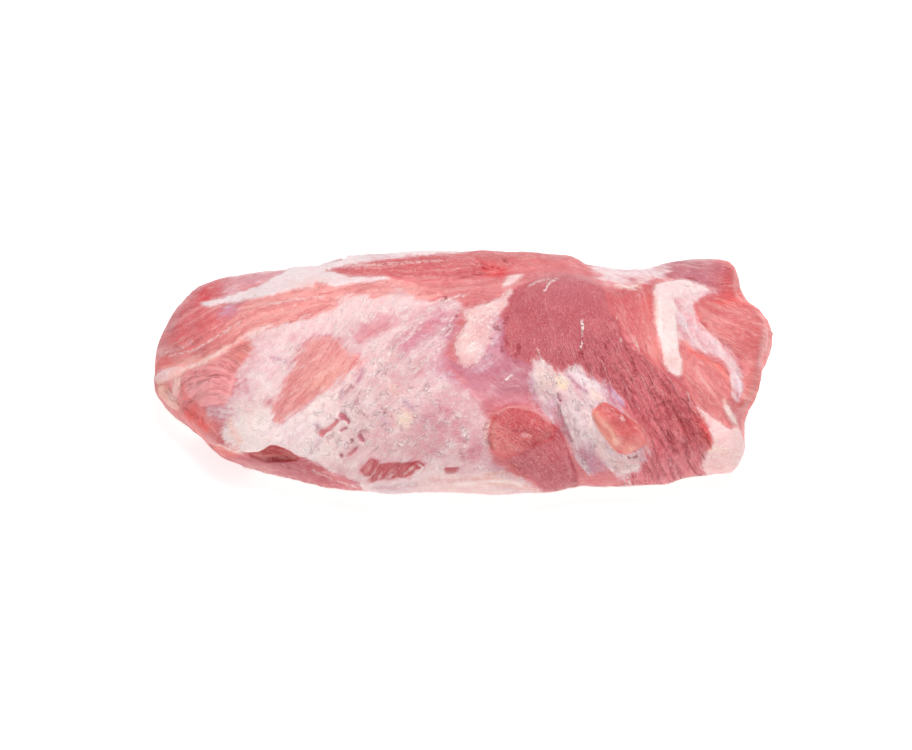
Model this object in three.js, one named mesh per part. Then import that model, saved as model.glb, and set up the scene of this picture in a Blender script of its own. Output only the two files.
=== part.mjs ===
// A raw boneless pork shoulder, trimmed of its rind, lying on its outer side with the boned side up.
// It is one piece of meat: a long slab that is round at the left end and cut off at the right end,
// made of several muscles that meet in seams, with films of sinew and patches of fat on them.
// Millimetres, +X along the length, +Y to the back, +Z up. The origin is on the board under the middle.
import * as THREE from "three";
import { ImprovedNoise } from "three/addons/math/ImprovedNoise.js";

// The eye looks down from the front, and all places on the meat are given as it sees them:
// x along the length and h up the view, on a plane through its aim, square to the line of sight.
const EYE_TILT = THREE.MathUtils.degToRad(42);
const EYE_DISTANCE = 1600;
const EYE_AIM = [-2.4, -6.6, 40];

// The outline seen: [x, h] along the far edge and along the near edge, from the left tip.
const FAR_EDGE = [
  [-186.5, -4], [-184, 5], [-180, 14.5], [-171, 34.5], [-152, 52.5], [-114, 60], [-84, 62], [-66, 68],
  [-29, 71], [-13, 70.5], [18, 72], [64, 69], [78, 63], [98, 61], [136, 65.2], [170, 66],
];
const NEAR_EDGE = [
  [-186.5, -4], [-184, -11], [-180, -20.5], [-169, -33], [-157, -43.5], [-146, -55], [-123, -63],
  [-96, -67.5], [-50, -73], [50, -72.6], [68, -70.6], [120, -68.4], [138, -63.5], [170, -62.4],
];
// How far right the cut end reaches at each h: the fat corner, a notch, a round muscle, a flap.
const END_REACH = [
  [-62, 167.5], [-50, 169], [-36, 167.5], [-29, 166], [-18, 173.5], [0, 180.5], [13, 183.3], [23, 184.5],
  [31, 181], [37, 176.5], [42, 172], [46, 170.5], [54, 169], [66, 165],
];
// Height of the top and of the underside, along x.
const TOP = [
  [-185.5, 33], [-180, 43], [-168, 53], [-145, 64], [-110, 73], [-60, 80], [0, 85], [50, 88],
  [90, 86], [130, 79], [170, 71],
];
const UNDERSIDE = [[-185.5, 25], [-180, 13], [-168, 6], [-145, 0], [150, 0], [170, 4]];

// The section across the length: how high its widest level is, how square its upper and lower halves
// are, how far its crest leans back, and how deep it would sag into the board, which makes it flat.
const WIDEST_LEVEL = 0.36;
const UPPER_SQUARENESS = 2.15;
const LOWER_SQUARENESS = 2.7;
const CREST_LEAN = 10;
const SAG = 3;

// The cut end: where it starts, its depth, how square its rim is, and how far its far side draws in.
const END_START = 161;
const END_DEPTH = 9;
const END_SQUARENESS = 3.4;
const END_RINGS = 10;
const END_LOBE_START = 118;
const END_LOBE_DEPTH = [-75, -25];

// How finely the surface is divided, and how many of its points the back and the flat base get.
const STATIONS = 86;
const AROUND = 62;
const SECTION_STEPS = 360;
const BACK_SHARE = 0.6;
const BASE_SHARE = 0.22;
const LEFT_CROWDING = 0.55;

// Relief fades out near the board, so that the base stays flat, and mostly on the cut end.
const BASE_FADE = [1.5, 12];
const END_FADE = [0.55, 0.95];
const END_RELIEF = 0.35;
const FAR_RELIEF = 1;
const NEAR_RELIEF = 0.6;

const UNEVEN = [
  { size: 34, height: 1.5 },
  { size: 16, height: 0.7 },
];

const MEAT_COLOUR = 0xd98486;

const smoothstep = THREE.MathUtils.smoothstep;
const noise = new ImprovedNoise();

// A smooth curve through [x, value] points that never swings past them.
function through(points) {
  const slopes = points.slice(1).map(([x, v], i) => (v - points[i][1]) / (x - points[i][0]));
  const tangents = points.map((_, i) => {
    if (i === 0) return slopes[0];
    if (i === points.length - 1) return slopes[i - 1];
    const [before, after] = [slopes[i - 1], slopes[i]];
    return before * after <= 0 ? 0 : (2 * before * after) / (before + after);
  });
  return (x) => {
    if (x <= points[0][0]) return points[0][1];
    if (x >= points.at(-1)[0]) return points.at(-1)[1];
    const i = points.findIndex((p) => x < p[0]) - 1;
    const width = points[i + 1][0] - points[i][0];
    const t = (x - points[i][0]) / width;
    const rest = 1 - t;
    return (
      points[i][1] * (1 + 2 * t) * rest * rest +
      points[i + 1][1] * (3 - 2 * t) * t * t +
      width * t * rest * (tangents[i] * rest - tangents[i + 1] * t)
    );
  };
}

const farEdge = through(FAR_EDGE);
const nearEdge = through(NEAR_EDGE);
const endReach = through(END_REACH);
const topHeight = through(TOP);
const undersideHeight = through(UNDERSIDE);

// Where the eye sees a point: x and h on the plane, and how far in front of the plane it is.
function seen(x, y, z) {
  const [aimX, aimY, aimZ] = EYE_AIM;
  const up = (y - aimY) * Math.sin(EYE_TILT) + (z - aimZ) * Math.cos(EYE_TILT);
  const front = (aimY - y) * Math.cos(EYE_TILT) + (z - aimZ) * Math.sin(EYE_TILT);
  const spread = EYE_DISTANCE / (EYE_DISTANCE - front);
  return { x: (x - aimX) * spread, h: up * spread, front };
}

// Relief on the surface, in millimetres outwards, as functions of x and h.

function linePoints(path) {
  const curve = new THREE.SplineCurve(path.map(([x, h]) => new THREE.Vector2(x, h)));
  return curve.getSpacedPoints(path.length * 4);
}

// The distance from a point to a line, which side of it the point is on, and the place along it.
function offLine(points, x, h) {
  let best = { distance: Infinity, side: 1, along: 0 };
  for (let i = 1; i < points.length; i++) {
    const [a, b] = [points[i - 1], points[i]];
    const [dx, dh] = [b.x - a.x, b.y - a.y];
    const t = THREE.MathUtils.clamp(((x - a.x) * dx + (h - a.y) * dh) / (dx * dx + dh * dh), 0, 1);
    const [ox, oh] = [x - a.x - t * dx, h - a.y - t * dh];
    const distance = Math.hypot(ox, oh);
    if (distance < best.distance) {
      best = { distance, side: dx * oh - dh * ox >= 0 ? 1 : -1, along: (i - 1 + t) / (points.length - 1) };
    }
  }
  return best;
}

const taperAlong = (along) => Math.sqrt(Math.sin(Math.PI * THREE.MathUtils.clamp(along, 0.04, 0.96)));

// A roll raised along a line, or, with a negative height, a groove.
function roll(path, halfWidth, height) {
  const points = linePoints(path);
  return (x, h) => {
    const { distance, along } = offLine(points, x, h);
    return height * taperAlong(along) * Math.exp(-((distance / halfWidth) ** 2));
  };
}

const groove = (path, halfWidth, depth) => roll(path, halfWidth, -depth);

// An overlap: the layer on the line's left side stands higher, and slopes away over a distance.
function overlap(path, height, slope, lip = 3.5) {
  const points = linePoints(path);
  return (x, h) => {
    const { distance, side, along } = offLine(points, x, h);
    const rise = smoothstep(side * distance, -lip, lip);
    return height * taperAlong(along) * rise * Math.exp(-((distance / slope) ** 2));
  };
}

// A muscle's belly: a dome with an oval foot, turned on the surface by some degrees.
function belly([atX, atH], [alongSize, acrossSize], turn, height, squareness = 2) {
  const [c, s] = [Math.cos(THREE.MathUtils.degToRad(turn)), Math.sin(THREE.MathUtils.degToRad(turn))];
  return (x, h) => {
    const along = ((x - atX) * c + (h - atH) * s) / alongSize;
    const across = ((h - atH) * c - (x - atX) * s) / acrossSize;
    return height * Math.exp(-(Math.hypot(along, across) ** squareness));
  };
}

// The big dark muscle right of the middle, and the long muscle behind it along the far edge.
const MAIN_MUSCLES = {
  mainBelly: belly([74, 22], [44, 32], -35, 6.5),
  mainFoot: belly([126, -44], [22, 15], -55, 3),
  mainEdge: overlap([[153, -46], [149, -36], [141, -22], [131, -9], [119, 3], [106, 12], [97, 24]], 4, 24, 4.5),
  fibreFurrow: groove([[100, 2], [110, -14], [120, -32], [130, -54]], 5, 2),
  ridge: belly([32, 69], [48, 9], -2, 4.5, 3),
  wedge: belly([-32, 62], [40, 7], 6, 2.5, 3),
  ridgeSeam: groove([[-84, 59], [-60, 57], [-35, 55], [0, 55.5], [22, 58.5], [48, 60], [76, 57], [94, 49]], 5, 4),
  saddle: groove([[76, 68], [90, 61], [106, 55], [122, 52]], 8, 3),
};

// The right end: a strip of fat, a hollow with a film, a striped muscle, a round one and a flap.
const RIGHT_MUSCLES = {
  strip: belly([108, 32], [9, 20], 20, 2.4),
  fatStrip: roll([[134, 54], [123, 47], [119, 34], [121, 18], [128, 2]], 6.5, 3.2),
  filmHollow: groove([[136, 44], [137, 30], [148, 16], [162, 7]], 7, 3.2),
  striped: belly([147, -6], [23, 11], -52, 4.5, 3),
  stripedRim: roll([[158, 4], [164, -6], [162, -18], [164, -28]], 5, 2),
  lobe: belly([165, 25], [17, 15], -35, 5.5, 3),
  lobeFoot: groove([[170, 4], [169, -8], [167, -20], [164, -30]], 5, 2.6),
  flap: belly([142, 61], [30, 7], -3, 3.4, 3),
  flapSeam: groove([[136, 47], [150, 44.5], [163, 45], [174, 45]], 5, 4),
  cornerFat: belly([159, -46], [9, 13], 8, 3.2, 3),
  cornerHollow: groove([[145, -52], [151, -58], [162, -62]], 5, 2),
};

// The near side: a round muscle with a fold in it, and a band of sinew that ends in a knob.
const NEAR_MUSCLES = {
  ball: belly([35, -37], [20, 15], -10, 7, 3),
  ballFoot: belly([52, -58], [19, 12], -25, 4.5, 3),
  ballSeam: groove([[11, -46], [15, -31], [26, -19], [42, -19], [56, -29], [65, -41], [71, -55], [75, -68]], 5, 4.2),
  ballFold: groove([[20, -54], [34, -55], [48, -47], [60, -40]], 5, 3),
  sinew: roll([[50, -2], [64, -20], [77, -38], [92, -54], [104, -60]], 11, 3),
  sinewSeam: groove([[70, 2], [86, -6], [99, -20], [110, -31], [117, -44]], 5, 3.4),
  knob: belly([95, -34], [19, 9.5], -42, 8.5, 3.4),
  knobFoot: groove([[98, -54], [108, -51], [117, -42]], 5, 3),
};

// The left half: fat and a film over thin muscles, with the edge of the film standing over a pocket.
const LEFT_MUSCLES = {
  whiteFat: belly([10, 22], [23, 12], 62, 2.4, 3),
  mauveHollow: belly([22, -8], [28, 10], -6, -2.6),
  filmSwell: belly([-36, -28], [38, 24], 25, 3),
  filmTop: belly([-48, 30], [34, 12], 14, 2),
  patch: belly([-88, -3], [30, 14], 36, 2.4, 3),
  patchSeam: groove([[-116, -32], [-102, -30], [-84, -17], [-64, -3], [-54, 8]], 5, 2.2),
  pocket: groove([[-132, -55], [-119, -55], [-108, -54], [-94, -58], [-76, -64]], 5, 4.5),
  filmEdge: overlap(
    [[-148, -44], [-132, -47], [-118, -48], [-104, -50], [-90, -54], [-76, -62], [-60, -68], [-42, -73]], 4, 22,
  ),
  under: roll([[-136, -58], [-116, -62], [-92, -66], [-66, -71]], 5, 3),
  curly: belly([-150, -9], [18, 12], 10, 3.6, 3),
  darkLeft: belly([-160, 26], [18, 12], 34, 3.8, 3),
  tipSeam: groove([[-184, 3], [-170, 4], [-156, 6], [-142, 13], [-128, 21], [-110, 28]], 5, 3),
  band: roll([[-150, 14], [-128, 32], [-100, 42], [-62, 48], [-30, 49]], 10, 2.6),
  bandSeam: groove([[-160, 42], [-142, 43], [-126, 47.5], [-108, 55]], 5, 2.6),
  strip: belly([-132, 53], [24, 6], 10, 2.2, 3),
  tipFat: belly([-175, -5], [9, 6], 12, 3, 3),
  rim: roll([[-172, -26], [-160, -34], [-150, -44]], 5.5, 2.6),
  nearFat: roll([[-24, -70], [8, -67], [34, -70]], 6, 2.8),
};

// The far side, which nothing shows: the same long muscles run on round it.
const FAR_MUSCLES = {
  seam: groove([[-160, 56], [-112, 66], [-50, 80], [10, 82], [66, 76], [120, 72], [166, 70]], 4.5, 5),
  belly: belly([-20, 91], [62, 7], 2, 3.2, 2.4),
  bellyRight: belly([108, 84], [44, 7], -5, 3, 2.4),
  foldLeft: groove([[-96, 70], [-84, 84], [-78, 106]], 7, 3.4),
  foldRight: groove([[46, 80], [56, 92], [60, 108]], 7, 3.4),
};

const FORMS = [MAIN_MUSCLES, RIGHT_MUSCLES, NEAR_MUSCLES, LEFT_MUSCLES, FAR_MUSCLES].flatMap(Object.values);

const reliefAt = (x, h) => FORMS.reduce((sum, form) => sum + form(x, h), 0);

// The round muscles that show on the cut end, and the hollows between them.
const END_FORMS = [
  { at: [172, 34, 28], size: 26, height: 6 },
  { at: [170, -40, 34], size: 22, height: 4.5 },
  { at: [170, 4, 20], size: 15, height: -4 },
  { at: [170, 40, 62], size: 14, height: -3.5 },
  { at: [-178, 24, 22], size: 16, height: 3 },
];

function endFormsAt(x, y, z) {
  return END_FORMS.reduce((sum, { at, size, height }) => {
    const distance = Math.hypot(x - at[0], y - at[1], z - at[2]);
    return sum + height * Math.exp(-((distance / size) ** 2));
  }, 0);
}

function unevenness(x, y, z) {
  return UNEVEN.reduce((sum, { size, height }) => sum + height * noise.noise(x / size, y / size, z / size), 0);
}

// The section at x as a closed ring of [y, z], for a half width and a middle in y.
function sectionRing(x, halfWidth, middle, steps = SECTION_STEPS) {
  const [low, high] = [undersideHeight(x), topHeight(x)];
  const widest = low + WIDEST_LEVEL * (high - low);
  return Array.from({ length: steps }, (_, i) => {
    const turn = (2 * Math.PI * i) / steps - Math.PI / 2;
    const [c, s] = [Math.cos(turn), Math.sin(turn)];
    const squareness = s >= 0 ? UPPER_SQUARENESS : LOWER_SQUARENESS;
    const out = Math.sign(c) * Math.abs(c) ** (2 / squareness);
    const up = Math.abs(s) ** (2 / squareness);
    const z = s >= 0 ? widest + (high - widest) * up : widest - (widest - low + SAG) * up;
    const lean = s >= 0 ? CREST_LEAN * up * up * Math.min(1, halfWidth / 60) : 0;
    return [middle + halfWidth * out + lean, Math.max(z, low)];
  });
}

// An edge of the outline less the relief that will stand on it, taken over a short length. A negative
// share is for the near edge, where outwards is down, and where the relief is already fading.
function bareEdge(edge, share) {
  const spots = [-8, -4, 0, 4, 8];
  return (x) => {
    const rise = spots.reduce((sum, d) => sum + reliefAt(x + d, edge(x + d)), 0) / spots.length;
    return edge(x) - share * rise;
  };
}

// Finds the half width and the middle of the section whose picture just fills the outline.
function fitSection(x, far, near) {
  let halfWidth = Math.max(4, (far(x) - near(x)) / 2 / Math.sin(EYE_TILT));
  let middle = 0;
  for (let round = 0; round < 40; round++) {
    const marks = sectionRing(x, halfWidth, middle, 90).map(([y, z]) => seen(x, y, z));
    const top = marks.reduce((best, m) => (m.h > best.h ? m : best));
    const bottom = marks.reduce((best, m) => (m.h < best.h ? m : best));
    const over = top.h - far(top.x);
    const under = bottom.h - near(bottom.x);
    halfWidth = Math.max(2, halfWidth - (over - under) / 2.2);
    middle -= (over + under) / 2 / Math.sin(EYE_TILT);
  }
  return { halfWidth, middle };
}

// Picks spaced points of a ring: close on the side that the eye sees, wider on the back and the base.
function thinRing(ring, count) {
  const lowest = Math.min(...ring.map((p) => p[1]));
  const lengths = [0];
  ring.forEach((p, i) => {
    const q = ring[(i + 1) % ring.length];
    const [dy, dz] = [q[0] - p[0], q[1] - p[1]];
    const facing = -dz * Math.cos(EYE_TILT) - dy * Math.sin(EYE_TILT);
    const isBase = Math.max(p[1], q[1]) < lowest + 0.01;
    const share = isBase ? BASE_SHARE : facing > 0 ? 1 : BACK_SHARE;
    lengths.push(lengths[i] + share * Math.hypot(dy, dz));
  });
  let i = 0;
  return Array.from({ length: count }, (_, k) => {
    const want = (lengths.at(-1) * k) / count;
    while (lengths[i + 1] < want) i++;
    const t = (want - lengths[i]) / (lengths[i + 1] - lengths[i] || 1);
    const [p, q] = [ring[i], ring[(i + 1) % ring.length]];
    return [p[0] + t * (q[0] - p[0]), p[1] + t * (q[1] - p[1])];
  });
}

// Rings of points along the length, closer together at the left tip, and shrinking on the cut end.
function makeRings() {
  const far = bareEdge(farEdge, FAR_RELIEF);
  const near = bareEdge(nearEdge, -NEAR_RELIEF);
  const [first, last] = [FAR_EDGE[0][0] + 0.5, END_START];
  const rings = [];
  for (let i = 0; i < STATIONS; i++) {
    const s = (2 * i) / (STATIONS - 1) - 1;
    const eased = s < 0 ? (1 - LEFT_CROWDING) * s + LEFT_CROWDING * Math.sin((Math.PI / 2) * s) : s;
    const x = first + ((eased + 1) / 2) * (last - first);
    const { halfWidth, middle } = fitSection(x, far, near);
    rings.push(thinRing(sectionRing(x, halfWidth, middle), AROUND).map(([y, z]) => [x, y, z]));
  }
  const rim = rings.at(-1);
  const middleY = rim.reduce((sum, p) => sum + p[1], 0) / AROUND;
  const middleZ = rim.reduce((sum, p) => sum + p[2], 0) / AROUND;
  for (let k = 1; k < END_RINGS; k++) {
    const size = Math.cos((Math.PI / 2) * (k / END_RINGS));
    const depth = END_DEPTH * (1 - size ** END_SQUARENESS) ** (1 / END_SQUARENESS);
    rings.push(rim.map(([x, y, z]) => [x + depth, middleY + (y - middleY) * size, middleZ + (z - middleZ) * size]));
  }
  return rings;
}

// Pushes the cut end out to its lobes, less so on its far lower side, which nothing shows.
function shapeCutEnd(rings) {
  const plainReach = END_START + END_DEPTH;
  for (const ring of rings) {
    for (const p of ring) {
      const mark = seen(...p);
      const share = smoothstep(p[0], END_LOBE_START, END_START) * smoothstep(mark.front, ...END_LOBE_DEPTH);
      const spread = mark.x / p[0];
      p[0] += share * (endReach(mark.h) / spread - plainReach);
    }
  }
}

// x and h of every ring point. Past the far and near edges, where the eye doesn't reach, h goes on
// as in a mirror, so that what is seen at an edge carries on round it. A ring starts under its middle.
function placeMarks(rings) {
  return rings.map((ring) => {
    const marks = ring.map((p) => seen(...p));
    const far = marks.reduce((best, m, i) => (m.h > marks[best].h ? i : best), 0);
    const near = marks.reduce((best, m, i) => (m.h < marks[best].h ? i : best), 0);
    const [farH, nearH] = [marks[far].h, marks[near].h];
    return marks.map((m, i) => {
      if (i < far) return { x: m.x, h: 2 * farH - m.h };
      if (i > near) return { x: m.x, h: 2 * nearH - m.h };
      return m;
    });
  });
}

function outwards(rings, i, j) {
  const count = rings[i].length;
  const [before, after] = [rings[Math.max(0, i - 1)][j], rings[Math.min(rings.length - 1, i + 1)][j]];
  const [left, right] = [rings[i][(j - 1 + count) % count], rings[i][(j + 1) % count]];
  const along = new THREE.Vector3(...after).sub(new THREE.Vector3(...before));
  const around = new THREE.Vector3(...right).sub(new THREE.Vector3(...left));
  return around.cross(along).normalize();
}

function carve(rings) {
  const marks = placeMarks(rings);
  return rings.map((ring, i) =>
    ring.map(([x, y, z], j) => {
      const mark = marks[i][j];
      const out = outwards(rings, i, j);
      const held = smoothstep(z, ...BASE_FADE);
      const share = THREE.MathUtils.lerp(1, END_RELIEF, smoothstep(Math.abs(out.x), ...END_FADE));
      const rise = share * reliefAt(mark.x, mark.h) + unevenness(x, y, z) + endFormsAt(x, y, z);
      out.multiplyScalar(held * rise);
      return [x + out.x, y + out.y, Math.max(z + out.z, 0)];
    }),
  );
}

// Splits four corners into two triangles along the diagonal that bends less.
function splitFour(points, a, b, c, d) {
  const [pa, pb, pc, pd] = [a, b, c, d].map((i) => points[i]);
  const bend = (first, second) => {
    const [n, m] = [new THREE.Triangle(...first), new THREE.Triangle(...second)].map((t) =>
      t.getNormal(new THREE.Vector3()),
    );
    return n.dot(m);
  };
  const acrossFirst = bend([pa, pb, pc], [pb, pd, pc]);
  const acrossSecond = bend([pa, pb, pd], [pa, pd, pc]);
  return acrossFirst >= acrossSecond ? [a, b, c, b, d, c] : [a, b, d, a, d, c];
}

// Joins the rings with triangles, and closes both ends with a fan on a middle point.
function skin(rings) {
  const points = rings.flat().map((p) => new THREE.Vector3(...p));
  const faces = [];
  const at = (i, j) => i * AROUND + (j % AROUND);
  for (let i = 0; i < rings.length - 1; i++) {
    for (let j = 0; j < AROUND; j++) {
      faces.push(...splitFour(points, at(i, j), at(i, j + 1), at(i + 1, j), at(i + 1, j + 1)));
    }
  }
  const addPole = (i, bulge) => {
    const pole = new THREE.Vector3();
    for (let j = 0; j < AROUND; j++) pole.addScaledVector(points[at(i, j)], 1 / AROUND);
    pole.x += bulge;
    return points.push(pole) - 1;
  };
  const leftPole = addPole(0, -0.7);
  const rightPole = addPole(rings.length - 1, 0.4);
  for (let j = 0; j < AROUND; j++) {
    faces.push(leftPole, at(0, j + 1), at(0, j));
    faces.push(rightPole, at(rings.length - 1, j), at(rings.length - 1, j + 1));
  }
  return { points, faces };
}

function makeShoulder() {
  const rings = makeRings();
  shapeCutEnd(rings);
  const { points, faces } = skin(carve(rings));
  const geometry = new THREE.BufferGeometry().setFromPoints(points);
  geometry.setIndex(faces);
  geometry.computeBoundingBox();
  const middle = geometry.boundingBox.getCenter(new THREE.Vector3());
  geometry.translate(-middle.x, -middle.y, 0);
  geometry.computeVertexNormals();
  const material = new THREE.MeshStandardMaterial({ color: MEAT_COLOUR, roughness: 0.45, metalness: 0 });
  const mesh = new THREE.Mesh(geometry, material);
  mesh.name = "pork_shoulder";
  return mesh;
}

const shoulder = new THREE.Group();
shoulder.add(makeShoulder());

export default shoulder;
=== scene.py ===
# %% [markdown]
# # A raw boneless pork shoulder
# The real thing is one heavy slab of meat, 38 cm long, with its boned side up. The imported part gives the
# slab and its big muscles at their true size. This lesson makes a finer copy of it, paints every muscle,
# film and cap of fat on it by function, and gives it a moist finish. We start with the part itself, because
# everything else is fitted to it.

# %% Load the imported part
import math
import bpy
import numpy as np
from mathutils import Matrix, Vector


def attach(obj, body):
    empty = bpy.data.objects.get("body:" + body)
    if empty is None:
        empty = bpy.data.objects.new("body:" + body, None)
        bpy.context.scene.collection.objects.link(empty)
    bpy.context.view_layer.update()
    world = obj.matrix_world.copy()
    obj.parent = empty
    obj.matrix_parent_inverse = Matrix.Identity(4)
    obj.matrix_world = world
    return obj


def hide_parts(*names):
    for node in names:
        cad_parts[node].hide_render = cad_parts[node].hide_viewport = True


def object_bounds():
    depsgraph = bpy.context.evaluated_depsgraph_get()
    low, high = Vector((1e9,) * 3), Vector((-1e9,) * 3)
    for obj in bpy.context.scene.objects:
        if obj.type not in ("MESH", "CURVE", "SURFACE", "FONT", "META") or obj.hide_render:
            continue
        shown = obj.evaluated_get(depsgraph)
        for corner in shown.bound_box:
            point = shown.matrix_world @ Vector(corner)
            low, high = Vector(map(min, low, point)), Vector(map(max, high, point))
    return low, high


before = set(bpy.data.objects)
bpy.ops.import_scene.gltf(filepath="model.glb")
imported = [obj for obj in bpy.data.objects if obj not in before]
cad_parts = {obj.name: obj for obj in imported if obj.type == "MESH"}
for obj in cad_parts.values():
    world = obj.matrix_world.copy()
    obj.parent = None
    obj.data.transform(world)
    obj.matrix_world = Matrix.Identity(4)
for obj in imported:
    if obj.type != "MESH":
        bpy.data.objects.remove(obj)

bpy.ops.object.select_all(action="DESELECT")
part_box = [list(corner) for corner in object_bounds()]
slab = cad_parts["pork_shoulder"]
print("slab, mm:", [round(1000 * (b - a)) for a, b in zip(*part_box)])

# %% [markdown]
# ## The eye
# Most of the marks on the meat are known from one side, looking down on it at 42 degrees from 1.6 m. A mark
# is therefore named by two numbers in millimetres: x to the right and h up, both square to that line of
# sight. The same tilt and distance set the camera, so the two always agree.

# %% The eye and the camera
TILT = math.radians(42)
DISTANCE = 1600.0
AIM = np.array([-2.59, -6.71, 40.0])
SIGHT = np.array([0, -math.cos(TILT), math.sin(TILT)])
UPRIGHT = np.array([0, math.sin(TILT), math.cos(TILT)])
PICTURE_WIDTH = 547.2


def as_seen(points):
    """x and h, in millimetres, of points given in millimetres."""
    off = points - AIM
    spread = DISTANCE / (DISTANCE - off @ SIGHT)
    return off[:, 0] * spread, (off @ UPRIGHT) * spread


place = AIM + DISTANCE * SIGHT + np.array([-2.4, 0, 0]) - 3.0 * UPRIGHT
bpy.ops.object.camera_add(location=place / 1000, rotation=(math.radians(90) - TILT, 0, 0))
camera = bpy.context.object
camera.name = "eye"
camera.data.sensor_width = 36
camera.data.lens = 36 * DISTANCE / PICTURE_WIDTH
bpy.context.scene.camera = camera
print("lens, mm:", round(camera.data.lens, 1))

# %% [markdown]
# ## Floor and light
# The light is a bright, even studio light: a white surround, one wide soft panel overhead and a weaker one
# from the side of the eye. It could be a sun lamp, but that draws hard shadows that wet meat in such a room
# never shows. The floor is a plain light table: it is nearly white and glows a little, so only a faint
# shadow is left under the meat.


# %% Floor, panels and surround
def table_glass(level, glow):
    glass = bpy.data.materials.new("table_glass")
    glass.use_nodes = True
    face = glass.node_tree.nodes["Principled BSDF"]
    face.inputs["Base Color"].default_value = (level, level, level, 1)
    face.inputs["Roughness"].default_value = 0.9
    face.inputs["Specular IOR Level"].default_value = 0.1
    face.inputs["Emission Color"].default_value = (1, 1, 1, 1)
    face.inputs["Emission Strength"].default_value = glow
    return glass


def soft_panel(name, size, place, power):
    bpy.ops.object.light_add(type="AREA", location=place)
    panel = bpy.context.object
    panel.name = name
    panel.data.shape = "SQUARE"
    panel.data.size = size
    panel.data.energy = power
    panel.rotation_euler = (Vector((0, 0, 0.03)) - Vector(place)).to_track_quat("-Z", "Y").to_euler()


bpy.ops.mesh.primitive_plane_add(size=8, location=(0, 0, -0.0004))
floor = bpy.context.object
floor.name = "floor"
floor.data.materials.append(table_glass(0.6, 0.66))

soft_panel("panel_above", 0.8, (0.22, 0.05, 1.3), 14.5)
soft_panel("panel_front", 1.4, (-0.5, -1.5, 0.8), 6)
surround = bpy.data.worlds.new("surround")
surround.use_nodes = True
surround.node_tree.nodes["Background"].inputs["Color"].default_value = (1, 0.985, 0.985, 1)
surround.node_tree.nodes["Background"].inputs["Strength"].default_value = 0.40
bpy.context.scene.world = surround
bpy.context.scene.view_settings.view_transform = "Standard"
bpy.context.scene.view_settings.look = "None"

# %% [markdown]
# ## A fine copy of the slab
# The slab has flat facets a few millimetres wide, too coarse for films and fibres. A copy is joined into one
# skin, rounded by one subdivision, remeshed with voxels of about a millimetre and smoothed. Where the eye
# never looks closely, on the base and the far wall, the faces are then thinned out, which keeps the whole
# piece light.

# %% Remesh the copy
WELD, VOXEL = 0.00002, 0.00116
meat = bpy.data.objects.new("shoulder_meat", slab.data.copy())
bpy.context.scene.collection.objects.link(meat)
meat.data.materials.clear()
bpy.context.view_layer.objects.active = meat
meat.select_set(True)
bpy.ops.object.mode_set(mode="EDIT")
bpy.ops.mesh.select_all(action="SELECT")
bpy.ops.mesh.remove_doubles(threshold=WELD)
bpy.ops.mesh.normals_make_consistent(inside=False)
bpy.ops.object.mode_set(mode="OBJECT")


def finish_with(kind, **settings):
    modifier = meat.modifiers.new(kind.lower(), kind)
    for key, value in settings.items():
        setattr(modifier, key, value)
    bpy.ops.object.modifier_apply(modifier=modifier.name)


finish_with("SUBSURF", levels=1, render_levels=1)
finish_with("REMESH", mode="VOXEL", voxel_size=VOXEL)
finish_with("SMOOTH", factor=0.5, iterations=7)
print("faces after the remesh:", len(meat.data.polygons))


# %% Thin out what is seldom seen
def thin_faces(wanted, ratio):
    """Collapses the faces that are wanted to a share of their number."""
    bpy.ops.object.mode_set(mode="EDIT")
    bpy.ops.mesh.select_mode(type="FACE")
    bpy.ops.mesh.select_all(action="DESELECT")
    bpy.ops.object.mode_set(mode="OBJECT")
    meat.data.polygons.foreach_set("select", wanted)
    bpy.ops.object.mode_set(mode="EDIT")
    bpy.ops.mesh.decimate(ratio=ratio)
    bpy.ops.object.mode_set(mode="OBJECT")


def faces_of(mesh):
    """Middles in millimetres and normals of a mesh's faces."""
    middle = np.empty(len(mesh.polygons) * 3)
    normal = np.empty(len(mesh.polygons) * 3)
    mesh.polygons.foreach_get("center", middle)
    mesh.polygons.foreach_get("normal", normal)
    return middle.reshape(-1, 3) * 1000, normal.reshape(-1, 3)


def on_base(middle, normal):
    return (normal[:, 2] < -0.75) & (middle[:, 2] < 9)


KEPT_ON_BASE, KEPT_FAR_OFF = 0.10, 0.30
thin_faces(on_base(*faces_of(meat.data)), KEPT_ON_BASE)
middle, normal = faces_of(meat.data)
thin_faces((normal @ SIGHT < -0.12) & ~on_base(middle, normal), KEPT_FAR_OFF)
print("triangles:", sum(len(p.vertices) - 2 for p in meat.data.polygons))

# %% [markdown]
# ## Where each point lies
# Every point of the skin gets its x and h. Past the far and near edges, where the line of sight only
# grazes, h goes on as in a mirror, so a muscle that reaches the edge carries on round it instead of
# stopping there.

# %% Places and normals of the points
count = len(meat.data.vertices)
spots = np.empty(count * 3)
meat.data.vertices.foreach_get("co", spots)
spots = spots.reshape(-1, 3) * 1000
facing_out = np.empty(count * 3)
meat.data.vertices.foreach_get("normal", facing_out)
facing_out = facing_out.reshape(-1, 3)
to_eye = facing_out @ SIGHT
x, h = as_seen(spots)


EDGE_START, EDGE_STEP, EDGE_SLOTS = -200, 3, 134


def edge_height(pick, start):
    """The highest or lowest h at each x, read from the skin itself and smoothed."""
    slots = np.clip(((x - EDGE_START) / EDGE_STEP).astype(int), 0, EDGE_SLOTS - 1)
    found = np.full(EDGE_SLOTS, start)
    pick.at(found, slots, h)
    known = np.flatnonzero(found != start)
    found = np.interp(np.arange(EDGE_SLOTS), known, found[known])
    found = np.convolve(np.pad(found, 2, mode="edge"), np.ones(5) / 5, "valid")
    return np.interp(x, EDGE_START + EDGE_STEP * (np.arange(EDGE_SLOTS) + 0.5), found)


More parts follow.
